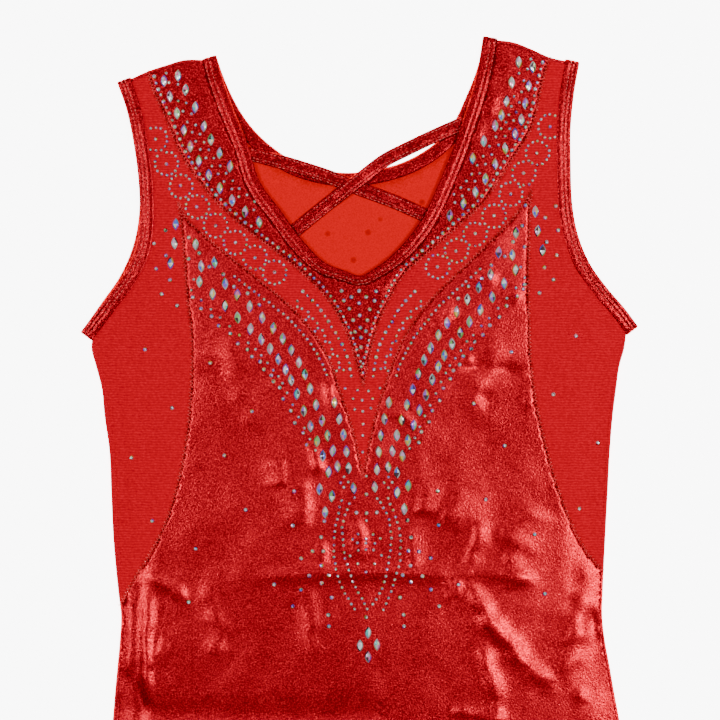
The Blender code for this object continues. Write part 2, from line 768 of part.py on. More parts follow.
def front_pieces(plan, seams):
    under = lambda points: front_under(points, plan)
    over = lambda points: front_over(points, plan)
    left, right = plan.side_line("left", "front"), plan.side_line("right", "front")
    cut_left = nearest_row(left, FLANK_END_LEFT)
    cut_right = nearest_row(right, FLANK_END_RIGHT)
    neck_foil = chain(plan.edge["neck_front"], plan.shoulder("right", "front", "inner")[::-1],
                      seams["yoke_right"], seams["yoke_left"][::-1],
                      plan.shoulder("left", "front", "inner"))
    front_mesh = chain(seams["yoke_left"], seams["yoke_right"][::-1],
                       plan.shoulder("right", "front", "outer")[::-1],
                       plan.edge["arm_right_front"], right[:cut_right + 1],
                       seams["flank_right"][::-1], seams["wing_right"],
                       seams["wing_left"][::-1], seams["flank_left"],
                       left[:cut_left + 1][::-1], plan.edge["arm_left_front"][::-1],
                       plan.shoulder("left", "front", "outer"))
    front_body = chain(seams["wing_left"], seams["wing_right"][::-1], seams["flank_right"],
                       right[cut_right:], plan.edge["leg_right_front"],
                       plan.edge["leg_left_front"][::-1], left[cut_left:][::-1],
                       seams["flank_left"][::-1])
    foil = cloth_material("neck_foil", (0.42, 0.010, 0.022), 0.32, 0.55)
    mesh = cloth_material("front_mesh", (0.68, 0.016, 0.012), 0.72, 0.0)
    body = cloth_material("front_body", (0.46, 0.012, 0.020), 0.30, 0.55)
    panel("neck_foil", neck_foil, under, over, foil, TOP_CELL, bead_places("neck_foil", seams))
    panel("front_mesh", front_mesh, under, over, mesh, TOP_CELL,
          bead_places("front_mesh", seams), folds=True)
    panel("front_body", front_body, under, over, body, TOP_CELL,
          bead_places("front_body", seams), folds=True)


def back_pieces(plan):
    flat = lambda points: np.zeros(len(points))
    over = lambda points: np.full(len(points), CLOTH)
    sides, seams, cuts, starts = {}, {}, {}, {}
    for side, end in (("left", FLANK_END_LEFT), ("right", FLANK_END_RIGHT)):
        arm = plan.edge["arm_%s_back" % side]
        sides[side] = plan.side_line(side, "back")
        cuts[side] = nearest_row(sides[side], end)
        starts[side] = nearest_row(arm, BACK_SEAM_START)
        rows = [tuple(arm[starts[side]])] + side_rows(BACK_SEAM, side)
        rows.append(tuple(sides[side][cuts[side]]))
        seams[side] = smooth_line(rows, EDGE_STEP)
    body = chain(plan.edge["neck_back"], plan.shoulder("right", "back", "whole")[::-1],
                 plan.edge["arm_right_back"][:starts["right"] + 1], seams["right"],
                 sides["right"][cuts["right"]:], plan.edge["leg_right_back"],
                 plan.edge["leg_left_back"][::-1], sides["left"][cuts["left"]:][::-1],
                 seams["left"][::-1], plan.edge["arm_left_back"][:starts["left"] + 1][::-1],
                 plan.shoulder("left", "back", "whole"))
    inside_red = cloth_material("back_body", (0.80, 0.008, 0.010), 0.85, 0.0)
    panel("back_body", body, flat, over, inside_red, PLAIN_CELL)
    for side in ("left", "right"):
        mesh = cloth_material("back_mesh_" + side, (0.62, 0.014, 0.012), 0.74, 0.0)
        loop = chain(seams[side], sides[side][:cuts[side] + 1][::-1],
                     plan.edge["arm_%s_back" % side][starts[side]:][::-1])
        panel("back_mesh_" + side, loop, flat, over, mesh, PLAIN_CELL)


def bindings_and_straps(plan):
    for name, key in (("neck_binding", "neck"), ("armhole_binding_left", "arm_left"),
                      ("armhole_binding_right", "arm_right"), ("leg_binding_left", "leg_left"),
                      ("leg_binding_right", "leg_right")):
        material = cloth_material(name, (0.40, 0.008, 0.020), 0.34, 0.5)
        binding(name, key + "_front", key + "_back", plan, material)
    for name, rows, hop in (("cross_strap_under", STRAP_UNDER, 0.0),
                            ("cross_strap_over", STRAP_OVER, STRAP_HOP)):
        strap(name, rows, hop, cloth_material(name, (0.44, 0.010, 0.020), 0.32, 0.5))


def seam_lines(plan):
    """The seams of the front, each ending on a point of the side or shoulder it meets."""
    seams = {
        "yoke_left": smooth_line(YOKE_SEAM_LEFT, EDGE_STEP),
        "yoke_right": smooth_line(YOKE_SEAM_RIGHT, EDGE_STEP),
        "wing_left": smooth_line(WING_SEAM_LEFT, EDGE_STEP),
        "wing_right": smooth_line(WING_SEAM_RIGHT, EDGE_STEP),
    }
    for side, rows, end in (("left", FLANK_SEAM_LEFT, FLANK_END_LEFT),
                            ("right", FLANK_SEAM_RIGHT, FLANK_END_RIGHT)):
        line = plan.side_line(side, "front")
        last = tuple(line[nearest_row(line, end)])
        seams["flank_" + side] = smooth_line(rows + (Point(*last),), EDGE_STEP)
    return seams


def main():
    for obj in list(bpy.data.objects):
        bpy.data.objects.remove(obj, do_unlink=True)
    plan = Plan()
    seams = seam_lines(plan)
    front_pieces(plan, seams)
    back_pieces(plan)
    bindings_and_straps(plan)


main()
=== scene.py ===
"""Looks of a sleeveless gymnastics leotard that lies flat on a pale table, face up.

The cloth is built as fine thin shells on the form of the CAD panels, in the same frame.
Plan sizes in the tables are millimetres, and everything is turned to metres when it is built.
"""
import math
from collections import namedtuple

import bpy
import numpy as np
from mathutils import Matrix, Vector
from mathutils.geometry import delaunay_2d_cdt


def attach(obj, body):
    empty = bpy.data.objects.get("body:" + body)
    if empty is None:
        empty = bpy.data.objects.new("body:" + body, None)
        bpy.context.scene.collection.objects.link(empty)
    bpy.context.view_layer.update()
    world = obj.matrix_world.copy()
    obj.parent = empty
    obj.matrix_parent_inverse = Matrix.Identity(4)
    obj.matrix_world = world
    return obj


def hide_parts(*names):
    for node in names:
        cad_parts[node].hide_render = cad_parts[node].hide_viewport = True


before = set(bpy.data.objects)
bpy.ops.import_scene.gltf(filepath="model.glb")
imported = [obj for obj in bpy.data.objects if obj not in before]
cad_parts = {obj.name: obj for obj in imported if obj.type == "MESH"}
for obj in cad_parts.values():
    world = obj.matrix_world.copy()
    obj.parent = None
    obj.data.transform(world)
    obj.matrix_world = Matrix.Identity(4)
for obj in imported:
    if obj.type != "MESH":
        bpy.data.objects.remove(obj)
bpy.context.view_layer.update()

bl_info = {
    "name": "Leotard laid flat",
    "version": (1, 0, 0),
    "blender": (4, 5, 0),
    "location": "3D View > Sidebar > Leotard",
    "description": "Builds the cloth, bindings, sewing and stones of a leotard on its CAD parts",
    "category": "Object",
}

MM = 0.001

# Layers, the same as in the CAD
CLOTH = 1.2
SEAM_GAP = 0.3
FRONT_LIFT = CLOTH + SEAM_GAP
LOFT = 1.9
LOFT_RUN = 26.0
BAND_WIDTH = 8.0
STRAP_WIDTH = 8.3
STRAP_HOP = 1.35
STRAP_HOP_RUN = 12.0

# Fineness of the shells
EDGE_STEP = 2.4
BAND_STEP = 1.8
TOP_CELL = 2.3
BACK_CELL = 7.0
FOLD_STEPS = 8           # sections round a binding's turn from front to back
CURVE_STEPS = 24         # steps between two knots of a smooth curve
ROW_STEP = 0.87          # height of a row of the staggered grid, as a share of its cell
SAME_POINT = 0.05        # points nearer than this are one

# Forms that only these looks have
SEAM_DIP = 0.08          # how deep the front dips along a seam
SEAM_DIP_RUN = 1.6       # how far from the seam it does
FOLD_UNDERSIDE = 0.35    # share of a ridge's height that the front's underside follows
FOLD_PAST = 0.12         # how far a fold runs past its ends, as a share of its length
FOLD_FADE = 0.3          # share of its length in which it fades there
UNEVEN = 0.22            # sway and swell of a crease, as shares of its half width and height
SWAY_RUN = 4.6           # distance along a crease for a radian of its sway
SWELL_RUN = 3.1          # the same for its swell
SLACK = 2.6              # how much wider a leaning fold is on its slack side
SHELL_EDGE = 0.03        # how far a shell stays inside its outline
NECK_NARROW = 0.34       # share of its width that the neck binding loses at the V's lowest point
NECK_NARROW_RUN = 26.0   # how far from there it does
BAND_LIFT = 0.22         # how far a binding is raised over the CAD's
BAND_OVERLAP = 0.8       # how far a binding laps over the panel beside it
BAND_POINTS = 19         # points across a band's face
BAND_UNDER = 5           # points across its underside
BAND_SQUARENESS = 7      # how square its edges are
BAND_RIPPLES = ((0.07, 1.9, 0.0), (0.05, 0.83, 1.0))   # height, turn for each section, start
CHANNEL = 0.50           # depth of a sewing channel, as a share of a band's half thickness
CHANNEL_RUN = 0.055      # its half width, as a share of the band's width
STRAP_THICK = 1.0
STITCH_LIFT = 0.16       # how far a running stitch lies over its channel
STITCH_SLANT = 0.16
SEAM_STITCH_LIFT = 0.36  # how far a slanting stitch lies over its seam
CROSS_SLANT = 1.05
WRAP_IN = 0.5            # the roll's start, inside the CAD's edge
WRAP_ROUND = 0.9         # how far the roll stands out from there
WRAP_PROUD = 0.12        # height of the strip over the front
WRAP_FEATHER = 0.14      # how far its outer row is pressed down
WRAP_STEPS = 8           # sections round the roll
SIDE_ROLLS = {"left": 2.8, "right": 1.4}   # width of the side rolls on the front
SHOULDER_ROLL = 1.2      # the same for the shoulder rolls

# How the cuts are worked out
CUT_SHARE = 0.34         # least share of its box that a panel's cut is taken to fill
ROLL_TURN = 3.2          # way round the fold itself
STRIP_SHOWN = 8.5        # width of the one face that is counted

Point = namedtuple("Point", "x y")
Pair = namedtuple("Pair", "y left right")
Armhole = namedtuple("Armhole", "y front back")
# A fold that leans is steep on one side only: to the left of its way above zero, to the right below
Fold = namedtuple("Fold", "name x0 y0 x1 y1 bow half_width height lean", defaults=(0.0,))
StoneRow = namedtuple("StoneRow", "seam inset_start inset_middle inset_end sway first pitch count size")
StoneLine = namedtuple("StoneLine", "knots pitch size")
Band = namedtuple("Band", "name key sewing")

# Neckline, free edge of the binding, from the left shoulder to the right one
NECK_FRONT = (
    Point(-85.8, 318.6), Point(-83.6, 310.0), Point(-76.8, 290.0), Point(-67.4, 267.0),
    Point(-60.0, 244.0), Point(-47.0, 226.0), Point(-34.2, 208.5), Point(-21.0, 195.5),
    Point(-9.0, 190.5), Point(0.0, 187.6), Point(9.8, 192.6), Point(22.0, 202.5),
    Point(37.0, 221.7), Point(51.6, 253.5), Point(62.2, 282.6), Point(69.6, 307.5),
    Point(73.6, 330.0),
)
NECK_BACK = (
    Point(-85.8, 318.6), Point(-82.4, 308.6), Point(-75.0, 292.0), Point(-66.0, 278.0),
    Point(-53.4, 265.5), Point(-36.0, 254.8), Point(-9.0, 249.4), Point(19.2, 253.5),
    Point(38.5, 262.4), Point(54.0, 276.3), Point(64.0, 296.0), Point(70.8, 314.0),
    Point(73.6, 330.0),
)

# Shoulder folds between the bindings. The neck foil ends at the first point of each yoke seam
SHOULDER_LEFT_INNER = (Point(-116.4, 313.4), Point(-105.0, 316.6))
SHOULDER_RIGHT_INNER = (Point(102.0, 323.4), Point(92.0, 327.2))

# Armholes, free edge from the shoulder to the underarm
ARMHOLE_LEFT = (
    Armhole(302.4, -145.2, -145.2), Armhole(287.0, -139.8, -139.4),
    Armhole(267.0, -135.6, -135.0), Armhole(244.0, -132.6, -132.4),
    Armhole(222.0, -132.0, -132.8), Armhole(204.0, -134.2, -136.6),
    Armhole(187.0, -142.4, -144.2), Armhole(172.0, -153.6, -154.6),
    Armhole(155.0, -166.6, -166.6),
)
ARMHOLE_RIGHT = (
    Armhole(314.4, 131.4, 131.4), Armhole(298.0, 128.4, 127.8), Armhole(276.0, 126.2, 125.4),
    Armhole(255.0, 126.2, 125.4), Armhole(230.0, 127.2, 126.4), Armhole(212.0, 130.6, 129.8),
    Armhole(195.0, 137.6, 136.8), Armhole(180.0, 148.2, 147.6), Armhole(168.0, 158.6, 158.2),
    Armhole(158.4, 165.8, 165.8),
)

# Side folds between the armhole binding and the leg binding
SIDES = (
    Pair(144.0, -160.6, 158.0), Pair(134.0, -158.0, 155.2), Pair(120.0, -154.4, 153.2),
    Pair(104.0, -152.8, 151.2), Pair(82.0, -149.8, 149.4), Pair(59.0, -148.8, 148.2),
    Pair(29.0, -147.4, 146.6), Pair(-1.0, -144.6, 145.2), Pair(-16.0, -142.9, 144.8),
    Pair(-31.0, -143.6, 146.4), Pair(-46.0, -145.0, 149.2), Pair(-61.0, -146.4, 151.8),
    Pair(-78.0, -147.8, 155.0), Pair(-105.0, -150.4, 159.8),
)

# Leg openings, free edge from the side to the crotch
LEG_FRONT = (
    Pair(-134.5, -152.6, 162.5), Pair(-144.0, -131.0, 140.0), Pair(-168.0, -104.0, 111.0),
    Pair(-205.0, -78.0, 83.0), Pair(-250.0, -57.0, 60.0), Pair(-295.0, -42.0, 43.0),
    Pair(-330.0, -33.0, 33.0),
)
LEG_BACK = (
    Pair(-134.5, -152.6, 162.5), Pair(-148.0, -135.0, 144.0), Pair(-176.0, -115.0, 122.0),
    Pair(-216.0, -93.0, 97.0), Pair(-258.0, -72.0, 75.0), Pair(-302.0, -47.0, 48.0),
    Pair(-330.0, -33.0, 33.0),
)

# Seam between the neck foil and the mesh, from the shoulder to the point of its V
YOKE_SEAM_LEFT = (
    Point(-127.2, 309.8), Point(-124.0, 299.5), Point(-115.5, 280.5), Point(-106.8, 260.0),
    Point(-93.0, 239.7), Point(-75.6, 221.7), Point(-53.4, 204.3), Point(-36.0, 190.5),
    Point(-18.6, 172.5), Point(-6.0, 148.5), Point(-1.8, 134.0), Point(1.8, 121.5),
)
YOKE_SEAM_RIGHT = (
    Point(113.4, 318.3), Point(109.2, 304.0), Point(102.0, 275.1), Point(90.0, 255.9),
    Point(75.0, 233.1), Point(57.6, 216.3), Point(35.4, 197.1), Point(25.8, 188.1),
    Point(15.6, 170.1), Point(10.2, 157.5), Point(5.6, 140.0), Point(1.8, 121.5),
)

# Seam between the mesh band and the body foil, from the foil's horn to the mesh's lower V
WING_SEAM_LEFT = (
    Point(-108.6, 231.3), Point(-103.8, 221.7), Point(-95.4, 213.6), Point(-84.6, 204.3),
    Point(-60.6, 185.1), Point(-36.0, 163.5), Point(-21.0, 142.5), Point(-11.4, 116.7),
    Point(-3.4, 90.9), Point(1.8, 66.9),
)
WING_SEAM_RIGHT = (
    Point(102.6, 238.5), Point(96.6, 228.6), Point(88.8, 219.3), Point(68.4, 198.9),
    Point(48.6, 179.7), Point(38.0, 168.0), Point(25.2, 148.5), Point(15.6, 123.9),
    Point(7.8, 97.5), Point(1.8, 66.9),
)

# Seam between the body foil and the side mesh, from the horn to the side
FLANK_SEAM_LEFT = (
    Point(-108.6, 231.3), Point(-106.8, 217.5), Point(-105.0, 195.9), Point(-103.4, 174.3),
    Point(-100.8, 152.0), Point(-100.8, 126.0), Point(-103.8, 90.9), Point(-108.6, 65.1),
    Point(-115.8, 41.1), Point(-125.4, 21.6), Point(-135.0, 6.3),
)
FLANK_SEAM_RIGHT = (
    Point(102.6, 238.5), Point(101.6, 227.0), Point(100.8, 200.0), Point(100.8, 174.3),
    Point(101.7, 143.7), Point(104.0, 120.0), Point(109.8, 90.9), Point(118.8, 59.1),
    Point(129.6, 32.7), Point(137.0, 20.4),
)
FLANK_END_LEFT = -9.0
FLANK_END_RIGHT = 9.5

# The same seam on the back, from the armhole binding to the side
BACK_SEAM = (
    Pair(205.0, -113.0, 110.0), Pair(175.0, -105.0, 104.0), Pair(140.0, -101.0, 102.5),
    Pair(105.0, -102.5, 106.0), Pair(65.0, -109.0, 116.0), Pair(30.0, -121.5, 129.5),
)
BACK_SEAM_START = 233.0

# Straps that cross over the neckline, middle lines
STRAP_UNDER = (
    Point(-67.5, 261.0), Point(-43.2, 254.7), Point(-19.5, 247.2), Point(0.6, 239.4),
    Point(20.0, 232.2), Point(42.5, 222.3),
)
STRAP_OVER = (
    Point(-41.9, 212.1), Point(-35.8, 217.2), Point(-26.6, 224.8), Point(-11.9, 236.3),
    Point(0.9, 246.1), Point(14.7, 256.6), Point(26.6, 262.8), Point(43.8, 271.0),
    Point(63.5, 279.7),
)
STRAPS_CROSS = Point(-4.2, 242.2)

# The largest folds of the front, the same as in the CAD
FOLDS = (
    Fold("long diagonal", 64.0, 4.0, 116.0, -60.0, -4.0, 5.5, 2.4),
    Fold("short slant", 72.0, -34.0, 84.0, -84.0, 2.0, 4.5, 1.7),
    Fold("right hip", 138.0, 14.0, 121.0, -52.0, 3.0, 7.0, 2.2),
    Fold("waist crease", -56.0, 8.0, 60.0, 8.5, 1.5, 4.0, 1.5),
    Fold("waist crease, right end", 58.0, 10.0, 104.0, 5.0, 2.0, 4.0, 1.4),
    Fold("left side, outer", -137.5, 4.0, -138.5, -52.0, 1.0, 3.6, 1.6),
    Fold("left side, inner", -127.0, 0.0, -127.5, -66.0, -2.0, 4.0, 1.8),
    Fold("left flank cross", -128.0, 8.0, -104.0, -6.0, 1.5, 4.0, 1.4),
    Fold("left mesh trough", -141.0, 140.0, -137.0, 18.0, -3.0, 6.0, -0.9),
    Fold("right mesh trough", 142.0, 128.0, 138.0, 44.0, 2.0, 6.0, -0.7),
    Fold("belly trough", -140.0, -72.0, 10.0, -74.0, -3.0, 8.0, -1.2),
    Fold("belly ridge", -120.0, -92.0, 84.0, -98.0, 5.0, 8.0, 1.6),
    Fold("left crotch", -22.0, -292.0, -58.0, -176.0, 5.0, 7.0, 1.6),
    Fold("right crotch", 20.0, -286.0, 70.0, -160.0, -6.0, 7.0, 1.9),
    Fold("left hip", -128.0, -112.0, -60.0, -150.0, -5.0, 6.5, 1.6),
    Fold("right hip, low", 132.0, -104.0, 66.0, -128.0, 4.0, 6.5, 1.4),
)

# Finer creases of the front. A height below zero is a trough, and the rows
# called lowered take height off the largest folds
CREASES = (
    Fold("left of the stones", -37.5, 66.0, -32.6, 36.0, 2.0, 4.6, 1.2, 1.0),
    Fold("left of the stones, outer", -49.0, 78.0, -47.0, 62.0, 0.8, 3.4, 1.0, 1.0),
    Fold("left of the stones, top", -29.0, 86.0, -24.0, 70.0, 0.8, 3.0, 1.0),
    Fold("between the stones", -3.6, 44.0, 1.0, 20.0, 1.0, 3.4, 1.0, 1.0),
    Fold("left of the motif", -25.0, 30.0, -20.0, 11.0, 0.6, 2.4, 0.6, 1.0),
    Fold("left of the V", -19.4, 124.0, -17.0, 108.0, 0.5, 2.4, 0.8),
    Fold("right of the motif", 28.4, 36.0, 30.6, 3.0, 1.0, 1.9, 0.55, -1.0),
    Fold("right of the stones", 38.7, 63.0, 35.6, 45.0, 0.8, 3.8, 1.1, -1.0),
    Fold("right of the stones, middle", 58.0, 60.0, 50.6, 38.0, 1.4, 3.8, 0.9, -1.0),
    Fold("right of the stones, top", 33.0, 99.0, 19.0, 108.0, 0.8, 2.6, 0.8),
    Fold("right of the stones, low", 72.4, 40.0, 63.4, 16.0, 0.8, 2.6, 1.1, -1.0),
    Fold("right of the stones, outer", 100.0, 52.0, 88.0, 26.0, 1.5, 7.0, 1.0, -1.0),
    Fold("long diagonal, lowered", 64.0, 4.0, 116.0, -60.0, -4.0, 5.5, -1.3),
    Fold("long diagonal, crest", 64.0, 2.0, 112.0, -56.0, -4.4, 2.4, 0.55, -1.0),
    Fold("short slant, lowered", 72.0, -34.0, 84.0, -84.0, 2.0, 4.5, -0.9),
    Fold("right hip, lowered", 138.0, 14.0, 121.0, -52.0, 3.0, 7.0, -1.1),
    Fold("right hip, crest", 132.0, 0.0, 124.0, -34.0, 2.0, 3.0, 0.5, -1.0),
    Fold("over the waist", 59.4, 6.0, 57.0, -5.0, 0.5, 2.8, 1.1),
    Fold("over the waist, outer", 88.0, 22.0, 92.0, 0.0, 0.5, 2.8, 0.8, -1.0),
    Fold("waist tuck", 51.0, 5.0, 54.0, -8.0, 0.4, 2.4, 0.9),
    Fold("right wing light", 44.6, 156.0, 56.4, 169.4, 0.8, 3.4, 1.1),
    Fold("right wing light, outer", 72.0, 190.0, 80.0, 184.0, 0.8, 3.4, 0.9),
    Fold("right wing light, end", 87.0, 178.0, 95.0, 173.0, 0.8, 3.2, 0.9),
    Fold("right wing trough", 62.0, 133.0, 103.0, 125.5, 1.5, 4.4, -1.1),
    Fold("right wing dip", 72.0, 117.0, 80.0, 110.0, 1.0, 4.4, -0.8),
    Fold("right wing glint", 63.0, 139.0, 69.0, 133.0, 0.5, 3.0, 0.9),
    Fold("neck foil, right top", 89.0, 322.0, 87.0, 310.0, 0.6, 3.6, 0.7),
    Fold("neck foil, right middle", 80.6, 298.0, 77.4, 284.0, 0.6, 3.2, 0.7),
    Fold("neck foil, right low", 73.0, 281.0, 68.6, 270.0, 0.6, 3.0, 0.7),
    Fold("along the right yoke", 9.0, 177.0, 25.0, 188.0, 0.8, 2.6, 0.8),
    Fold("under the right seam", 102.0, 134.0, 101.0, 108.0, 0.8, 3.4, 0.8),
    Fold("under the waist, left", -92.0, 2.0, -84.0, -40.0, 2.0, 6.0, 0.9),
    Fold("under the waist, middle", -30.0, 0.0, -26.0, -40.0, -2.0, 5.0, 0.7),
    Fold("left ripple, long", -124.0, -6.0, -127.0, -58.0, -1.5, 2.4, 0.9),
    Fold("left ripple, slant", -116.0, -30.0, -125.0, -47.0, 0.6, 2.4, 0.9),
    Fold("left ripple, low", -130.8, -54.0, -132.0, -80.0, 0.5, 2.8, -0.9),
    Fold("right hip, narrow", 141.4, -7.0, 144.4, -29.0, 0.6, 2.2, 0.9),
    Fold("bottom right", 56.0, -73.5, 84.0, -79.0, 0.8, 3.0, 1.1),
    Fold("bottom right, outer", 129.0, -62.0, 136.0, -67.0, 0.6, 3.0, 1.0),
    Fold("bottom right, slant", 73.0, -40.0, 80.0, -66.0, 0.8, 2.0, 0.8, -1.0),
    Fold("left armhole slant", -120.0, 196.0, -134.0, 160.0, 1.5, 3.4, 0.7),
    Fold("left armhole slant, low", -108.0, 180.0, -140.0, 140.0, -2.0, 4.0, -0.6),
    Fold("left armhole slant, lower", -112.0, 150.0, -143.0, 116.0, -2.0, 4.5, 0.5),
    Fold("right armhole, upright", 129.0, 232.0, 128.0, 184.0, 1.2, 3.2, -0.6),
    Fold("right underarm", 122.0, 176.0, 146.0, 142.0, 2.0, 4.5, 0.6),
    Fold("right mesh, low", 120.0, 132.0, 140.0, 92.0, 2.0, 5.0, 0.5),
    Fold("left wing, broad", -80.0, 150.0, -64.0, 96.0, 3.0, 8.0, 0.6),
    Fold("right wing, broad", 84.0, 152.0, 70.0, 100.0, -3.0, 8.0, 0.6),
    Fold("left breast trough", -92.0, 132.0, -44.0, 126.0, -2.0, 6.0, -0.6),
    Fold("left crotch, fine", -12.0, -270.0, -34.0, -190.0, 3.0, 4.5, 0.9),
    Fold("right crotch, fine", 8.0, -300.0, 30.0, -214.0, -3.0, 4.5, -0.8),
    Fold("belly, low left", -96.0, -120.0, -20.0, -136.0, 4.0, 6.0, 0.8),
    Fold("belly, low right", 10.0, -120.0, 100.0, -112.0, -4.0, 6.0, -0.7),
)

# Rows of navettes along the seams, the same as in the CAD. An inset below zero is on the other side
NAVETTE = 1.0            # scale of a navette
NAVETTE_ROWS = {
    "neck_foil": (
        StoneRow("yoke", 7.8, 6.9, 8.0, 0.0, 8.4, 10.85, 11, NAVETTE),
        StoneRow("yoke", 16.8, 19.2, 20.2, 0.0, 8.0, 11.6, 7, NAVETTE),
    ),
    "front_body": (
        StoneRow("wing", 7.4, 7.9, 8.4, 0.0, 25.0, 15.3, 2, NAVETTE),
        StoneRow("wing", 15.2, 15.2, 15.2, 0.0, 35.8, 10.0, 1, NAVETTE),
        StoneRow("wing", 14.4, 16.9, 13.6, 0.0, 53.0, 10.2, 15, NAVETTE),
        StoneRow("wing", 21.8, 26.3, 19.5, 0.0, 30.0, 10.5, 17, NAVETTE),
        StoneRow("wing", 5.4, 5.9, 7.4, 0.0, 157.0, 10.3, 5, NAVETTE),
    ),
    "front_mesh": (
        StoneRow("flank", -3.4, -5.2, -8.4, 0.0, 12.5, 11.6, 3, NAVETTE),
    ),
}
SEAM_SIDE = {"yoke": 1.0, "wing": -1.0, "flank": 1.0}
CENTRE_NAVETTES = (
    Point(-24.2, 59.8), Point(-16.8, 55.6), Point(-3.9, 60.3), Point(8.7, 61.3),
    Point(22.2, 57.8), Point(28.9, 62.0), Point(-20.9, 46.0), Point(26.5, 47.9),
    Point(4.8, -26.1), Point(0.0, -33.9), Point(10.2, -33.3), Point(4.8, -40.5),
)
BEAD_LENGTH = 7.8
BEAD_WIDTH = 4.2

# Rows of round stones along the seams
SMALL = 1.9
LARGE = 2.55
ROUND_ROWS = {
    "neck_foil": (
        StoneRow("yoke", 2.9, 2.9, 2.9, 0.0, 4.0, 8.2, 19, LARGE),
        StoneRow("yoke", 2.9, 2.9, 2.9, 0.0, 8.1, 8.2, 19, SMALL),
        StoneRow("yoke", 12.4, 13.4, 13.8, 2.0, 4.0, 3.3, 34, SMALL),
        StoneRow("yoke", 2.6, 2.4, 2.2, 0.0, 160.0, 3.5, 23, SMALL),
    ),
    "front_mesh": (
        StoneRow("flank", -12.0, -14.0, -10.0, 3.4, 8.0, 7.6, 8, LARGE),
        StoneRow("flank", -18.0, -21.0, -18.0, 10.0, 88.0, 36.0, 4, LARGE),
    ),
    "front_body": (
        StoneRow("wing", 7.6, 6.0, 4.4, 0.0, 55.0, 3.7, 24, SMALL),
        StoneRow("wing", 30.0, 32.6, 24.4, 0.0, 40.0, 7.9, 19, SMALL),
        StoneRow("wing", 33.6, 36.4, 28.0, 0.6, 43.0, 7.9, 18, LARGE),
        StoneRow("wing", 11.0, 11.6, 10.4, 1.0, 30.0, 9.4, 6, LARGE),
        StoneRow("wing", 20.0, 22.6, 16.0, 1.4, 26.0, 11.3, 5, SMALL),
        StoneRow("flank", 3.2, 3.0, 3.2, 0.6, 9.0, 12.5, 5, LARGE),
        StoneRow("flank", 20.0, 34.0, 26.0, 9.0, 96.0, 26.0, 6, LARGE),
    ),
}

# Chains of rings on the mesh band, along the yoke seam
RING_INSET = -10.4
RING_FIRST = 39.6
RING_PITCH = 14.7
RING_COUNT = 8
RING_RADIUS = 7.0
RING_STONES = 14
RING_MIDDLE = 0.9        # middle stone of a ring, as a share of a large one

# Round stones along free curves of the centre, both sides
ROUND_LINES = (
    StoneLine((Point(-11.2, 52.9), Point(-15.6, 31.6), Point(-15.6, 26.8), Point(-15.4, 18.0),
               Point(-11.8, 3.4), Point(-3.2, -12.4)), 3.9, SMALL),
    StoneLine((Point(-6.2, 51.0), Point(-10.2, 40.4), Point(-10.4, 30.0), Point(-8.2, 16.0),
               Point(-3.2, 2.0), Point(1.4, -6.2), Point(4.2, -12.0)), 3.7, SMALL),
    StoneLine((Point(16.8, 54.2), Point(22.2, 40.8), Point(24.2, 29.2), Point(23.6, 16.4),
               Point(19.4, 0.8), Point(14.2, -12.2)), 3.9, SMALL),
    StoneLine((Point(12.4, 52.2), Point(17.0, 42.4), Point(18.6, 28.6), Point(16.4, 12.4),
               Point(12.6, -1.0), Point(7.2, -8.8)), 3.7, SMALL),
)
MIDDLE_X = 3.6
# Small groups in the centre: height, half spread, count across, size
GROUP_ROWS = (
    (67.4, 0.0, 1, SMALL), (56.6, 0.0, 1, LARGE), (54.6, 6.8, 2, SMALL), (45.6, 6.2, 3, LARGE),
    (41.0, 0.0, 1, SMALL), (33.0, 4.6, 2, SMALL), (30.0, 8.2, 3, SMALL), (27.6, 5.2, 3, SMALL),
    (23.4, 4.6, 3, SMALL), (20.0, 9.4, 2, SMALL), (15.0, 5.2, 2, SMALL), (10.2, 0.0, 1, SMALL),
    (-16.8, 0.0, 1, LARGE),
    (31.2, 27.0, 2, LARGE), (23.0, 25.4, 2, LARGE), (22.6, 32.0, 2, LARGE), (14.0, 26.4, 2, LARGE),
    (8.2, 22.2, 2, LARGE), (4.0, 26.4, 2, LARGE), (-5.0, 20.4, 2, LARGE), (-15.4, 22.4, 2, LARGE),
    (-22.2, 22.4, 2, LARGE), (41.0, 25.0, 2, LARGE), (8.0, 33.8, 2, LARGE), (18.4, 38.8, 2, LARGE),
    (-0.3, 39.0, 2, LARGE), (2.7, 55.0, 2, LARGE), (-10.2, 44.0, 2, LARGE), (58.6, 42.9, 2, LARGE),
    (38.1, 43.7, 2, LARGE),
)
# Four small stones round a point, both sides of the middle
DIAMOND_OFF = 13.2
DIAMOND_Y = 63.8
DIAMOND_REACH = 3.0      # half its height
DIAMOND_WIDTH = 2.4      # half its width
# Stones in the mesh's lower V: height and half spread
LOWER_V = ((120.2, 10.4), (118.8, 3.4), (113.9, 5.9), (107.8, 4.8), (112.9, 0.0), (106.4, 0.0),
           (98.9, 0.0), (91.7, 0.0), (82.1, 0.0))
LOWER_V_X = 1.6
# Stones in the V of the neck foil: height, half spread and count across. The V leans a little
V_ROWS = ((178.6, 10.3, 3), (174.8, 4.7, 2), (172.8, 9.0, 2), (170.9, 0.0, 1), (167.5, 6.1, 2),
          (163.6, 0.0, 1), (161.0, 4.3, 2), (156.1, 0.0, 1), (154.2, 3.2, 2), (150.6, 0.0, 1),
          (144.7, 0.0, 1), (140.2, 0.0, 1))
V_TIP = Point(1.8, 121.5)
V_LEAN = -0.045
# Large and small stones in turn down the middle of the mesh band, left side
BAND_LINE = (Point(-34.4, 178.1), Point(-25.6, 169.6), Point(-18.2, 159.2), Point(-13.6, 151.8),
             Point(-8.0, 140.4), Point(-5.1, 127.6))
BAND_LINE_PITCH = 4.1
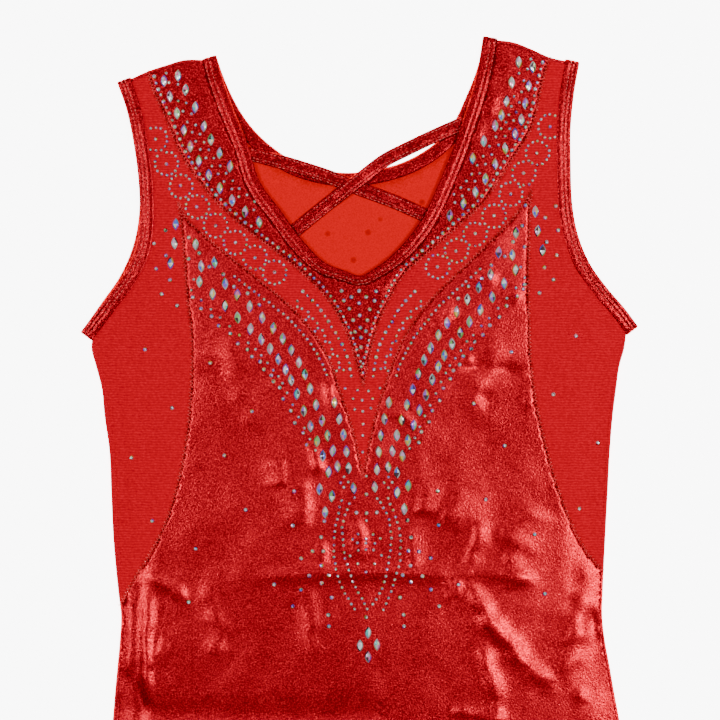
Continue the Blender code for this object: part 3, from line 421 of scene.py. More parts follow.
# Arrows of four small stones beside it, nearer the body foil
ARROW_LINE = (Point(-37.1, 169.1), Point(-30.6, 162.8), Point(-24.7, 155.6), Point(-20.6, 148.3),
              Point(-16.3, 140.4), Point(-12.3, 132.6))
ARROW_PITCH = 8.95
ARROW = (Point(-0.4, 3.1), Point(0.0, 0.0), Point(2.5, -1.1), Point(-1.9, -1.9))

# Bindings, with the place of their two sewing rows as shares of the width from the free edge
BANDS = (
    Band("neck_binding", "neck", (0.56, 0.88)),
    Band("armhole_binding_left", "arm_left", (0.30, 0.56)),
    Band("armhole_binding_right", "arm_right", (0.30, 0.56)),
    Band("leg_binding_left", "leg_left", (0.50, 0.78)),
    Band("leg_binding_right", "leg_right", (0.50, 0.78)),
)
STRAP_SEWING = (0.19, 0.72, 0.91)
STRAPS = (("cross_strap_under", STRAP_UNDER, 0.0), ("cross_strap_over", STRAP_OVER, STRAP_HOP))

# Stones: rings of scale and height from the seat to the table, and how unevenly they are set
NAVETTE_RINGS = ((0.93, -0.2), (0.95, 0.25), (0.66, 0.8), (0.30, 1.1))
ROUND_RINGS = ((1.0, -0.1), (1.0, 0.16), (0.6, 0.46))
PEAK = 1.06              # height of a stone's middle, as a share of its last ring's
NAVETTE_SLIM = 0.96      # width of a navette, as a share of the CAD's
FACET_GROUPS = 4         # groups of painted reflection colours round the middle of a stone, and as many round its rim
RIM_SHADE = 0.55          # painted shade: how much darker the rim's facets are painted than the middle
NAVETTE_TURN = 0.05      # spread of the stones' turn, in radians
ROUND_TURN = 1.2
STRAY = 0.16             # how far a round stone strays from its place
STONE_GAP = 0.15         # least gap between round stones
PLACE_SEED = 7
TURN_SEED = 11
SHADES = 4000            # shades to choose from, and the step between two
SHADE_STEP = 50.0
SLOPE_STEP = 0.6         # distance over which the cloth's slope is taken

# Finishes
FOIL_ROUGHNESS = 0.30
GLITTER = (1.0, 0.018, 0.032)
FOIL_EDGE = (1.0, 0.04, 0.04)      # colour of the foil seen at a slant
# Relief of the foil from broad waves to grain: noise scale and detail, strength, depth in metres
FOIL_RELIEF = ((17.0, 2.0, 0.55, 0.006), (60.0, 1.0, 0.25, 0.0012), (170.0, 2.0, 0.12, 0.0007),
               (1100.0, 2.0, 0.42, 0.0005))
# Shares of the dark and the light foil colour in each kind of foil. The neck foil and the bands are the body's
# foil painted darker, as painted shade
FOIL_SHADE_SHARES = {"foil": (1.0, 1.0), "neck_foil": (0.60, 0.74), "band_foil": (0.55, 0.62)}
# Threads: a dark colour, and a light one that noise scatters along a row as painted highlight
THREADS_WITH_GLINTS = {"thread": ((0.50, 0.002, 0.006), (1.0, 0.05, 0.06)),
           "bright_thread": ((0.50, 0.005, 0.010), (1.0, 0.16, 0.14))}
GLUE = (0.62, 0.5, 0.5)

# Table, room and camera
FLOOR_REACH = 2500.0
FLOOR_DROP = 0.3         # how far the table is drawn under the cloth
FLOOR_ROUGHNESS = 0.6
FLOOR_GLOW = 8.0
ROOM_LIGHT = 0.20
LIGHT_AIM = (0.0, 0.12, 0.0)
CAMERA_LENS = 166.7
CAMERA_PLACE = (0.0, 0.1371, 2.0)
# Soft boxes: name, place, size and power
LIGHTS = (
    ("box_left", (-0.80, 0.14, 1.4), (0.40, 0.45), 9.0),
    ("box_right", (0.80, 0.12, 1.4), (0.40, 0.45), 14.0),
    ("box_top", (0.1, 1.05, 1.5), (0.8, 0.24), 3.4),
    ("box_foot", (0.1, -0.85, 1.6), (0.8, 0.24), 1.0),
)


def smooth_line(rows, step):
    """A smooth curve through the rows, cut into even steps of about the given length."""
    knots = np.array([(row[0], row[1]) for row in rows], dtype=float)
    chords = np.linalg.norm(np.diff(knots, axis=0), axis=1)
    at = np.concatenate(([0.0], np.cumsum(np.sqrt(chords))))
    slopes = np.gradient(knots, at, axis=0)
    fine = []
    for i in range(len(knots) - 1):
        span = at[i + 1] - at[i]
        for t in np.linspace(0.0, 1.0, CURVE_STEPS, endpoint=False):
            h00 = 2 * t**3 - 3 * t**2 + 1
            h10 = t**3 - 2 * t**2 + t
            h01 = 3 * t**2 - 2 * t**3
            h11 = t**3 - t**2
            fine.append(h00 * knots[i] + h10 * span * slopes[i]
                        + h01 * knots[i + 1] + h11 * span * slopes[i + 1])
    fine.append(knots[-1])
    fine = np.array(fine)
    run = np.concatenate(([0.0], np.cumsum(np.linalg.norm(np.diff(fine, axis=0), axis=1))))
    count = max(1, round(run[-1] / step))
    stops = np.linspace(0.0, run[-1], count + 1)
    return np.column_stack((np.interp(stops, run, fine[:, 0]), np.interp(stops, run, fine[:, 1])))


def side_rows(rows, side):
    """The x, y rows of one side of a table that gives both sides."""
    return [(getattr(row, side), row.y) for row in rows]


def normals(line, closed=False):
    """Mitred normals of a line, pointing to its left."""
    ahead = np.roll(line, -1, axis=0) - line
    behind = line - np.roll(line, 1, axis=0)
    if not closed:
        ahead[-1] = behind[-1]
        behind[0] = ahead[0]
    ahead /= np.linalg.norm(ahead, axis=1)[:, None]
    behind /= np.linalg.norm(behind, axis=1)[:, None]
    middle = ahead + behind
    middle /= np.linalg.norm(middle, axis=1)[:, None]
    stretch = 1.0 / np.maximum(np.sum(middle * ahead, axis=1), 0.35)
    return np.column_stack((-middle[:, 1], middle[:, 0])) * stretch[:, None]


def offset_line(line, distance, closed=False):
    return line + normals(line, closed) * distance


def run_of(line):
    """Distance along a line at each of its points."""
    return np.concatenate(([0.0], np.cumsum(np.linalg.norm(np.diff(line, axis=0), axis=1))))


def run_along(line, distance):
    """The point and the left normal at a distance along a line."""
    run = run_of(line)
    n = normals(line)
    place = np.array([np.interp(distance, run, line[:, k]) for k in (0, 1)])
    left = np.array([np.interp(distance, run, n[:, k]) for k in (0, 1)])
    return place, left / np.linalg.norm(left)


def nearest_row(line, y):
    return int(np.argmin(np.abs(line[:, 1] - y)))


def signed_area(loop):
    x, y = loop[:, 0], loop[:, 1]
    return 0.5 * float(np.sum(x * np.roll(y, -1) - np.roll(x, -1) * y))


def chain(*lines):
    """One closed loop, anticlockwise, from lines that meet end to end."""
    points = []
    for line in lines:
        for point in line:
            if not points or np.linalg.norm(points[-1] - point) > SAME_POINT:
                points.append(np.array(point, dtype=float))
    if np.linalg.norm(points[0] - points[-1]) < SAME_POINT:
        points.pop()
    loop = np.array(points)
    return loop if signed_area(loop) > 0 else loop[::-1]


def smoothstep(t):
    t = np.clip(t, 0.0, 1.0)
    return t * t * (3.0 - 2.0 * t)


def distance_to(points, line):
    """Distance from each point to a line of segments, taken in blocks to save memory."""
    start, end = line[:-1], line[1:]
    along = end - start
    square = np.sum(along * along, axis=1)
    found = np.empty(len(points))
    for first in range(0, len(points), 2000):
        rel = points[first:first + 2000, None, :] - start[None]
        t = np.clip(np.sum(rel * along, axis=2) / square, 0.0, 1.0)
        found[first:first + 2000] = np.linalg.norm(rel - t[..., None] * along, axis=2).min(axis=1)
    return found


def inside(points, loop):
    """Which of the points lie inside a closed loop."""
    x, y = points[:, 0][:, None], points[:, 1][:, None]
    x0, y0 = loop[:, 0], loop[:, 1]
    x1, y1 = np.roll(x0, -1), np.roll(y0, -1)
    rise = np.where(y1 == y0, 1e-12, y1 - y0)
    crosses = ((y0 > y) != (y1 > y)) & (x < x0 + (y - y0) * (x1 - x0) / rise)
    return crosses.sum(axis=1) % 2 == 1


def narrowed(free, inner):
    """The inner edge of the neck binding, drawn in round the lowest point of the V."""
    away = np.linalg.norm(free - free[np.argmin(free[:, 1])], axis=1)
    share = NECK_NARROW * np.exp(-(away / NECK_NARROW_RUN) ** 2)
    return inner + (free - inner) * share[:, None]


class Plan:
    """Every line of the garment in the plane of the table."""

    def __init__(self):
        self.free = {
            "neck_front": smooth_line(NECK_FRONT, BAND_STEP),
            "neck_back": smooth_line(NECK_BACK, BAND_STEP),
        }
        for side, table in (("left", ARMHOLE_LEFT), ("right", ARMHOLE_RIGHT)):
            for face in ("front", "back"):
                self.free["arm_%s_%s" % (side, face)] = smooth_line(side_rows(table, face), BAND_STEP)
        for face, table in (("front", LEG_FRONT), ("back", LEG_BACK)):
            for side in ("left", "right"):
                self.free["leg_%s_%s" % (side, face)] = smooth_line(side_rows(table, side), BAND_STEP)
        # Which side of its free edge the garment is on, walking down from the shoulder
        self.inward = {name: 1.0 if "left" in name else -1.0 for name in self.free}
        self.edge = {name: offset_line(line, self.inward[name] * (BAND_WIDTH + SEAM_GAP / 2))
                     for name, line in self.free.items()}
        self.edge["neck_front"] = narrowed(self.free["neck_front"], self.edge["neck_front"])
        self.folded_edges = [
            self.fold_line("arm_left_front", 0, "neck_front", 0),
            self.fold_line("arm_right_front", 0, "neck_front", -1),
            self.fold_line("leg_left_front", -1, "leg_right_front", -1),
            self.side_line("left", "front"),
            self.side_line("right", "front"),
        ]
        self.seams = self.seam_lines()

    def fold_line(self, name_a, end_a, name_b, end_b):
        return np.array([self.free[name_a][end_a], self.edge[name_a][end_a],
                         self.edge[name_b][end_b], self.free[name_b][end_b]])

    def side_line(self, side, face):
        arm = self.edge["arm_%s_%s" % (side, face)]
        leg = self.edge["leg_%s_%s" % (side, face)]
        rows = [tuple(arm[-1])] + side_rows(SIDES, side) + [tuple(leg[0])]
        return smooth_line(rows, EDGE_STEP)

    def shoulder(self, side, face, part):
        """The shoulder fold: its outer part on the mesh, its inner part on the neck foil."""
        arm = tuple(self.edge["arm_%s_%s" % (side, face)][0])
        neck = tuple(self.edge["neck_" + face][0 if side == "left" else -1])
        corner = (YOKE_SEAM_LEFT if side == "left" else YOKE_SEAM_RIGHT)[0]
        middle = SHOULDER_LEFT_INNER if side == "left" else SHOULDER_RIGHT_INNER
        rows = {"outer": [arm, corner], "inner": [corner, *middle, neck],
                "whole": [arm, corner, *middle, neck]}[part]
        return smooth_line(rows, EDGE_STEP)

    def seam_lines(self):
        """The seams of the front, each ending on a point of the side or shoulder it meets."""
        seams = {name: smooth_line(rows, EDGE_STEP) for name, rows in (
            ("yoke_left", YOKE_SEAM_LEFT), ("yoke_right", YOKE_SEAM_RIGHT),
            ("wing_left", WING_SEAM_LEFT), ("wing_right", WING_SEAM_RIGHT))}
        for side, rows, end in (("left", FLANK_SEAM_LEFT, FLANK_END_LEFT),
                                ("right", FLANK_SEAM_RIGHT, FLANK_END_RIGHT)):
            line = self.side_line(side, "front")
            last = tuple(line[nearest_row(line, end)])
            seams["flank_" + side] = smooth_line(rows + (Point(*last),), EDGE_STEP)
        return seams

    def front_loops(self):
        """The outlines of the front's three panels."""
        left, right = self.side_line("left", "front"), self.side_line("right", "front")
        cut_left, cut_right = nearest_row(left, FLANK_END_LEFT), nearest_row(right, FLANK_END_RIGHT)
        seams = self.seams
        return {
            "neck_foil": chain(self.edge["neck_front"], self.shoulder("right", "front", "inner")[::-1],
                               seams["yoke_right"], seams["yoke_left"][::-1],
                               self.shoulder("left", "front", "inner")),
            "front_mesh": chain(seams["yoke_left"], seams["yoke_right"][::-1],
                                self.shoulder("right", "front", "outer")[::-1],
                                self.edge["arm_right_front"], right[:cut_right + 1],
                                seams["flank_right"][::-1], seams["wing_right"],
                                seams["wing_left"][::-1], seams["flank_left"],
                                left[:cut_left + 1][::-1], self.edge["arm_left_front"][::-1],
                                self.shoulder("left", "front", "outer")),
            "front_body": chain(seams["wing_left"], seams["wing_right"][::-1], seams["flank_right"],
                                right[cut_right:], self.edge["leg_right_front"],
                                self.edge["leg_left_front"][::-1], left[cut_left:][::-1],
                                seams["flank_left"][::-1]),
        }

    def back_loops(self):
        """The outlines of the back's three panels."""
        sides, seams, cuts, starts = {}, {}, {}, {}
        for side, end in (("left", FLANK_END_LEFT), ("right", FLANK_END_RIGHT)):
            arm = self.edge["arm_%s_back" % side]
            sides[side] = self.side_line(side, "back")
            cuts[side] = nearest_row(sides[side], end)
            starts[side] = nearest_row(arm, BACK_SEAM_START)
            rows = [tuple(arm[starts[side]])] + side_rows(BACK_SEAM, side)
            rows.append(tuple(sides[side][cuts[side]]))
            seams[side] = smooth_line(rows, EDGE_STEP)
        loops = {"back_body": chain(
            self.edge["neck_back"], self.shoulder("right", "back", "whole")[::-1],
            self.edge["arm_right_back"][:starts["right"] + 1], seams["right"],
            sides["right"][cuts["right"]:], self.edge["leg_right_back"],
            self.edge["leg_left_back"][::-1], sides["left"][cuts["left"]:][::-1],
            seams["left"][::-1], self.edge["arm_left_back"][:starts["left"] + 1][::-1],
            self.shoulder("left", "back", "whole"))}
        for side in ("left", "right"):
            loops["back_mesh_" + side] = chain(
                seams[side], sides[side][:cuts[side] + 1][::-1],
                self.edge["arm_%s_back" % side][starts[side]:][::-1])
        return loops

    def loft(self, points):
        near = np.min([distance_to(points, line) for line in self.folded_edges], axis=0)
        return LOFT * smoothstep(near / LOFT_RUN)

    def front_under(self, points):
        fold = fold_height(points, FOLDS)
        return FRONT_LIFT + self.loft(points) + np.where(fold > 0, fold * FOLD_UNDERSIDE, fold)

    def front_top(self, points):
        """Outer face of the front, with its folds and creases and a dip along each seam."""
        dip = np.zeros(len(points))
        for line in self.seams.values():
            dip = np.maximum(dip, np.exp(-(distance_to(points, line) / SEAM_DIP_RUN) ** 2))
        return (FRONT_LIFT + self.loft(points) + fold_height(points, FOLDS)
                + fold_height(points, CREASES, 1.0) + CLOTH - SEAM_DIP * dip)


def fold_height(points, folds, uneven=0.0):
    """Height of folds: soft ridges and troughs that die out at both ends."""
    height = np.zeros(len(points))
    for k, fold in enumerate(folds):
        start = np.array((fold.x0, fold.y0))
        along = np.array((fold.x1, fold.y1)) - start
        length = np.linalg.norm(along)
        along /= length
        across = np.array((-along[1], along[0]))
        rel = points - start
        t = rel @ along / length
        run = t * length / SWAY_RUN
        sway = np.sin(run + 1.7 * k) + 0.6 * np.sin(2.0 * run + 2.9 * k)
        crest = fold.bow * 4.0 * t * (1.0 - t) + uneven * UNEVEN * fold.half_width * sway
        aside = (rel @ across - crest) / fold.half_width
        aside = np.where(aside * fold.lean < 0.0, aside / SLACK, aside)
        ends = smoothstep((t + FOLD_PAST) / FOLD_FADE) * smoothstep((1.0 + FOLD_PAST - t) / FOLD_FADE)
        swell = 1.0 + uneven * UNEVEN * np.cos(t * length / SWELL_RUN + k)
        height += fold.height * np.exp(-aside**2) * ends * swell
    return height


def colour_ramp(tree, stops, source, constant=False):
    ramp = tree.nodes.new("ShaderNodeValToRGB")
    ramp.color_ramp.interpolation = "CONSTANT" if constant else "LINEAR"
    while len(ramp.color_ramp.elements) < len(stops):
        ramp.color_ramp.elements.new(0.5)
    for element, (place, colour) in zip(ramp.color_ramp.elements, stops):
        element.position = place
        element.color = (*colour, 1.0)
    tree.links.new(source, ramp.inputs["Fac"])
    return ramp.outputs["Color"]


def noise(tree, coordinates, scale, detail):
    node = tree.nodes.new("ShaderNodeTexNoise")
    node.inputs["Scale"].default_value = scale
    node.inputs["Detail"].default_value = detail
    tree.links.new(coordinates, node.inputs["Vector"])
    return node.outputs["Fac"]


def multiplied(tree, first, second):
    node = tree.nodes.new("ShaderNodeMix")
    node.data_type = "RGBA"
    node.blend_type = "MULTIPLY"
    node.inputs["Factor"].default_value = 1.0
    tree.links.new(first, node.inputs["A"])
    tree.links.new(second, node.inputs["B"])
    return node.outputs["Result"]


def toned(colour, share):
    """A share of a colour."""
    return tuple(share * c for c in colour)


def grey(share):
    return (share, share, share)


def attribute(tree, name):
    """The node that reads one of the mesh's own values."""
    node = tree.nodes.new("ShaderNodeAttribute")
    node.attribute_name = name
    return node


def bump(tree, height, strength, distance, below=None):
    node = tree.nodes.new("ShaderNodeBump")
    node.inputs["Strength"].default_value = strength
    node.inputs["Distance"].default_value = distance
    tree.links.new(height, node.inputs["Height"])
    if below is not None:
        tree.links.new(below, node.inputs["Normal"])
    return node.outputs["Normal"]


def shaded(name, uniform):
    """A new material and its shader, with the given plain inputs."""
    material = bpy.data.materials.new(name)
    material.use_nodes = True
    tree = material.node_tree
    shader = tree.nodes["Principled BSDF"]
    for key, value in uniform.items():
        shader.inputs[key].default_value = value
    place = tree.nodes.new("ShaderNodeTexCoord").outputs["Object"]
    return material, tree, shader, place


def foil_material(name, dark, light):
    """Red foil jersey: fine glitter over softly uneven red."""
    material, tree, shader, place = shaded(name, {
        "Roughness": FOIL_ROUGHNESS, "Metallic": 1.0, "Specular Tint": (*FOIL_EDGE, 1.0)})
    glitter = colour_ramp(tree, ((0.36, dark), (0.56, light), (0.72, GLITTER)),
                          noise(tree, place, scale=1050.0, detail=2.0))
    patches = colour_ramp(tree, ((0.34, grey(0.85)), (0.66, grey(1.0))),
                          noise(tree, place, scale=24.0, detail=2.0))
    tree.links.new(multiplied(tree, glitter, patches), shader.inputs["Base Color"])
    normal = None
    for scale, detail, strength, distance in FOIL_RELIEF:
        normal = bump(tree, noise(tree, place, scale, detail), strength, distance, normal)
    tree.links.new(normal, shader.inputs["Normal"])
    return material


def mesh_material(name, colour):
    """Matt knitted mesh with fine lines across the garment."""
    material, tree, shader, place = shaded(name, {
        "Roughness": 0.8, "Metallic": 0.0, "Specular IOR Level": 0.0})
    lines = tree.nodes.new("ShaderNodeTexWave")
    lines.bands_direction = "Y"
    for key, value in (("Scale", 200.0), ("Distortion", 3.0), ("Detail", 1.0)):
        lines.inputs[key].default_value = value
    tree.links.new(place, lines.inputs["Vector"])
    knit = colour_ramp(tree, ((0.0, toned(colour, 0.80)), (1.0, colour)), lines.outputs["Fac"])
    grain = colour_ramp(tree, ((0.3, grey(0.72)), (0.7, grey(1.0))),
                        noise(tree, place, scale=700.0, detail=3.0))
    tree.links.new(multiplied(tree, knit, grain), shader.inputs["Base Color"])
    tree.links.new(bump(tree, lines.outputs["Fac"], strength=0.35, distance=0.0002),
                   shader.inputs["Normal"])
    return material


def inside_material(name, colour):
    """Matt inside of the back, with faint dots of glue."""
    material, tree, shader, place = shaded(name, {
        "Roughness": 0.9, "Metallic": 0.0, "Specular IOR Level": 0.0})
    dots = tree.nodes.new("ShaderNodeTexVoronoi")
    dots.inputs["Scale"].default_value = 70.0
    dots.inputs["Randomness"].default_value = 1.0
    tree.links.new(place, dots.inputs["Vector"])
    glue = colour_ramp(tree, ((0.07, GLUE), (0.16, grey(1.0))), dots.outputs["Distance"])
    grain = colour_ramp(tree, ((0.3, toned(colour, 0.8)), (0.7, colour)),
                        noise(tree, place, scale=1100.0, detail=2.0))
    tree.links.new(multiplied(tree, grain, glue), shader.inputs["Base Color"])
    nap = noise(tree, place, scale=1300.0, detail=2.0)
    tree.links.new(bump(tree, nap, strength=0.3, distance=0.0002), shader.inputs["Normal"])
    return material


def thread_material(name, dark, light):
    """Sewing thread, dark red with spots of painted highlight in its light colour, which noise scatters a
    little along a row.
    """
    material, tree, shader, place = shaded(name, {
        "Roughness": 0.4, "Metallic": 0.3, "Specular IOR Level": 0.3})
    tone = colour_ramp(tree, ((0.40, dark), (0.58, light)), noise(tree, place, scale=520.0, detail=1.0))
    tree.links.new(tone, shader.inputs["Base Color"])
    return material


# Painted reflections of the stones' coating: white glints, dark facets and rainbow colours, one after another
# over their facets
FACET_REFLECTIONS = (
    (0.62, 0.64, 0.60), (0.97, 0.97, 0.94), (0.10, 0.16, 0.90), (0.42, 0.40, 0.38),
    (0.42, 0.12, 0.85), (0.95, 0.22, 0.46), (0.85, 0.82, 0.42), (0.08, 0.03, 0.05),
    (0.10, 0.62, 0.56), (0.92, 0.90, 0.92), (0.90, 0.60, 0.08), (0.26, 0.62, 0.16),
    (0.80, 0.44, 0.70), (0.98, 0.98, 0.98),
)


def stone_material(name):
    """Glass with a thin coat, each facet painted one colour of reflection that stands in for the coat's glints
    and rainbow colours.
    """
    material, tree, shader, _ = shaded(name, {
        "Roughness": 0.12, "Metallic": 0.2, "Specular IOR Level": 0.8, "Coat Weight": 0.6})
    facet, shade, tone = (attribute(tree, label) for label in ("facet", "shade", "tone"))
    total = tree.nodes.new("ShaderNodeMath")
    total.operation = "ADD"
    tree.links.new(facet.outputs["Fac"], total.inputs[0])
    tree.links.new(shade.outputs["Fac"], total.inputs[1])
    whole = tree.nodes.new("ShaderNodeMath")
    whole.operation = "ROUND"
    tree.links.new(total.outputs[0], whole.inputs[0])
    random = tree.nodes.new("ShaderNodeTexWhiteNoise")
    random.noise_dimensions = "1D"
    tree.links.new(whole.outputs[0], random.inputs["W"])
    stops = [(i / len(FACET_REFLECTIONS), colour) for i, colour in enumerate(FACET_REFLECTIONS)]
    colour = colour_ramp(tree, stops, random.outputs["Value"], constant=True)
    # The rim's facets are darkened here by painted shade
    tree.links.new(multiplied(tree, colour, tone.outputs["Color"]), shader.inputs["Base Color"])
    return material


def plain_material(name, colour, roughness, glow):
    material, _, shader, _ = shaded(name, {
        "Base Color": (*colour, 1.0), "Roughness": roughness, "Specular IOR Level": 0.0,
        "Emission Color": (1.0, 1.0, 1.0, 1.0), "Emission Strength": glow})
    return material


def new_object(name, verts, faces, materials, slots=None, smooth=True):
    """A mesh object from points in millimetres."""
    mesh = bpy.data.meshes.new(name)
    mesh.from_pydata((np.asarray(verts, dtype=float) * MM).tolist(), [], faces)
    for material in materials:
        mesh.materials.append(material)
    if slots is not None:
        mesh.polygons.foreach_set("material_index", slots)
    mesh.polygons.foreach_set("use_smooth", [smooth] * len(mesh.polygons))
    obj = bpy.data.objects.new(name, mesh)
    bpy.context.scene.collection.objects.link(obj)
    return obj


def grid_points(loop, cell, clear):
    """Points of a staggered grid inside a loop, kept clear of its edge."""
    low, high = loop.min(axis=0), loop.max(axis=0)
    rows = []
    for row, y in enumerate(np.arange(low[1] + cell / 2, high[1], cell * ROW_STEP)):
        xs = np.arange(low[0] + cell * (0.25 + 0.5 * (row % 2)), high[0], cell)
        rows.append(np.column_stack((xs, np.full(len(xs), y))))
    points = np.vstack(rows)
    points = points[inside(points, loop)]
    closed = np.vstack((loop, loop[:1]))
    return points[distance_to(points, closed) > clear]


def shell(name, loop, over, thickness, cell, outer, inner):
    """A thin closed shell of cloth over a loop, its outer face at the height over(points)."""
    edge = offset_line(loop, SHELL_EDGE, closed=True)
    loose = grid_points(edge, cell, cell * 0.5)
    points = np.vstack((edge, loose))
    links = [(i, (i + 1) % len(edge)) for i in range(len(edge))]
    verts, _, faces, *_ = delaunay_2d_cdt([Vector(p) for p in points.tolist()], links, [], 1, 1e-6)
    if len(verts) != len(points):
        raise ValueError("%s: its outline crosses itself" % name)
    flat = np.array([tuple(v) for v in verts])
    top = np.column_stack((flat, over(flat)))
    low = top - (0.0, 0.0, thickness)
    count = len(top)
    up = [tuple(face) for face in faces]
    down = [tuple(count + i for i in reversed(face)) for face in up]
    rim = [(count + i, count + (i + 1) % len(edge), (i + 1) % len(edge), i)
           for i in range(len(edge))]
    slots = [0] * len(up) + [1] * len(down) + [0] * len(rim)
    obj = new_object(name, np.vstack((top, low)), up + down + rim, (outer, inner), slots)
    obj.data.polygons.foreach_set("use_smooth", [True] * (2 * len(up)) + [False] * len(rim))
    return obj


def band_profile(sewing, half):
    """Heights across a band: rounded edges, and a channel pressed in by each sewing row."""
    across = np.linspace(0.0, 1.0, BAND_POINTS)
    height = half * (1.0 - np.abs(2.0 * across - 1.0) ** BAND_SQUARENESS) ** 0.5
    for row in sewing:
        height -= half * CHANNEL * np.exp(-((across - row) / CHANNEL_RUN) ** 2)
    return across, height


def sweep(sections, sewing, half, closed):
    """Points and faces of a band along its sections of (free, inner, up) points."""
    across, height = band_profile(sewing, half)
    under = np.linspace(1.0, 0.0, BAND_UNDER + 2)[1:-1]
    verts = []
    for k, (free, inner, up) in enumerate(sections):
        wave = sum(high * math.sin(k * turn + start) for high, turn, start in BAND_RIPPLES)
        base = free + (inner - free) * across[:, None]
        verts.append(base + up * (height + wave * np.sin(across * math.pi))[:, None])
        verts.append(free + (inner - free) * under[:, None] - up * half)
    return np.vstack(verts), tube_faces(len(sections), len(across) + BAND_UNDER, closed)


def tube_faces(rings, count, closed):
    """Faces between rings of points, with both ends closed where the tube is not a ring itself."""
    faces = []
    for i in range(rings if closed else rings - 1):
        j = (i + 1) % rings
        for k in range(count):
            m = (k + 1) % count
            faces.append((i * count + k, i * count + m, j * count + m, j * count + k))
    if not closed:
        last = (rings - 1) * count
        faces.append(tuple(reversed(range(count))))
        faces.append(tuple(range(last, last + count)))
    return faces


def outwards(obj):
    """Turns the faces of a closed mesh outwards."""
    mesh = obj.data
    mesh.calc_loop_triangles()
    co = np.array([v.co for v in mesh.vertices])
    tri = np.array([t.vertices for t in mesh.loop_triangles])
    volume = np.sum(co[tri[:, 0]] * np.cross(co[tri[:, 1]], co[tri[:, 2]]))
    if volume < 0:
        mesh.flip_normals()
    return obj


def at_height(point, z):
    return np.array((point[0], point[1], z))


def binding_lines(key, plan):
    """Free edge and inner edge of a binding on one face."""
    free = plan.free[key]
    inner = offset_line(free, plan.inward[key] * (BAND_WIDTH + BAND_OVERLAP))
    return free, narrowed(free, inner) if key == "neck_front" else inner


def binding_sections(key, plan):
    """Sections of a binding: along the front, over the fold, back along the back."""
    half = CLOTH / 2
    free_f, inner_f = binding_lines(key + "_front", plan)
    free_b, inner_b = binding_lines(key + "_back", plan)
    z_free, z_inner = (plan.front_under(line) + half + BAND_LIFT for line in (free_f, inner_f))
    rise = np.array((0.0, 0.0, 1.0))

    def turn(end):
        """Sections over the fold at one end, from the front to the back."""
        step = 1 if end == 0 else -1
        out = free_f[end] + inner_f[end] - free_f[end + step] - inner_f[end + step]
        across = inner_f[end] - free_f[end]
        square = np.array((-across[1], across[0]))
        if square @ out < 0:
            square = -square
        square /= np.linalg.norm(square)
        radius = (z_free[end] - half) / 2
        middle = (z_free[end] + half) / 2
        rows = []
        for k in range(1, FOLD_STEPS):
            angle = math.pi * k / FOLD_STEPS
            share = (1 - math.cos(angle)) / 2
            shift = square * radius * math.sin(angle)
            z = middle + radius * math.cos(angle)
            free = free_f[end] * (1 - share) + free_b[end] * share + shift
            inner = inner_f[end] * (1 - share) + inner_b[end] * share + shift
            up = np.array((*(square * math.sin(angle)), math.cos(angle)))
            rows.append((at_height(free, z), at_height(inner, z), up))
        return rows

    front = [(at_height(free_f[i], z_free[i]), at_height(inner_f[i], z_inner[i]), rise)
             for i in range(len(free_f))]
    back = [(at_height(free_b[i], half), at_height(inner_b[i], half), -rise)
            for i in reversed(range(len(free_b)))]
    return front + turn(-1) + back + turn(0)[::-1]


def strap_sections(rows, hop):
    """Sections of a strap along its middle line, with a hop where it crosses the other one."""
    middle = smooth_line(rows, BAND_STEP)
    free = offset_line(middle, STRAP_WIDTH / 2)
    inner = offset_line(middle, -STRAP_WIDTH / 2)
    apart = np.linalg.norm(middle - np.array(STRAPS_CROSS), axis=1)
    z = FRONT_LIFT + STRAP_THICK / 2 + hop * np.exp(-(apart / STRAP_HOP_RUN)**4)
    rise = np.array((0.0, 0.0, 1.0))
    return [(at_height(free[i], z[i]), at_height(inner[i], z[i]), rise) for i in range(len(middle))]


def wrap_strip(name, line, outward, over_width, top, materials, cut=None):
    """A narrow strip of cloth rolled round a folded edge, from the front to the underside."""
    verts = []
    for place, normal, z_top in zip(line, normals(line) * outward, top(line)):
        half = (z_top + WRAP_PROUD) / 2
        section = [(-over_width, 2 * half - WRAP_FEATHER), (-over_width * 0.6, 2 * half),
                   (-over_width * 0.3, 2 * half)]
        for k in range(WRAP_STEPS + 1):
            angle = math.pi * k / WRAP_STEPS
            section.append((math.sin(angle) * WRAP_ROUND, half + math.cos(angle) * half))
        section.append((-over_width, 0.0))
        verts += [(*(place + normal * (out - WRAP_IN)), z) for out, z in section]
    count = len(section)
    slots = [0 if cut is None or i < cut else 1 for i in range(len(line) - 1) for _ in range(count)]
    slots += [0, 0 if cut is None else 1]
    return outwards(new_object(name, verts, tube_faces(len(line), count, False), materials, slots))


def node_group(name, inputs):
    """A geometry node group with a geometry in and out and the named inputs."""
    group = bpy.data.node_groups.new(name, "GeometryNodeTree")
    face = group.interface
    face.new_socket("Geometry", in_out="INPUT", socket_type="NodeSocketGeometry")
    for label, kind in inputs:
        face.new_socket(label, in_out="INPUT", socket_type=kind)
    face.new_socket("Geometry", in_out="OUTPUT", socket_type="NodeSocketGeometry")
    return group, group.nodes.new("NodeGroupInput"), group.nodes.new("NodeGroupOutput")


def realized(group, source, result, instances):
    """Ends a group: makes its instances real and sets the finish that the group was given."""
    new, link = group.nodes.new, group.links.new
    real = new("GeometryNodeRealizeInstances")
    link(instances.outputs["Instances"], real.inputs["Geometry"])
    finish = new("GeometryNodeSetMaterial")
    link(real.outputs["Geometry"], finish.inputs["Geometry"])
    link(source.outputs["Finish"], finish.inputs["Material"])
    link(finish.outputs["Geometry"], result.inputs["Geometry"])
    return group


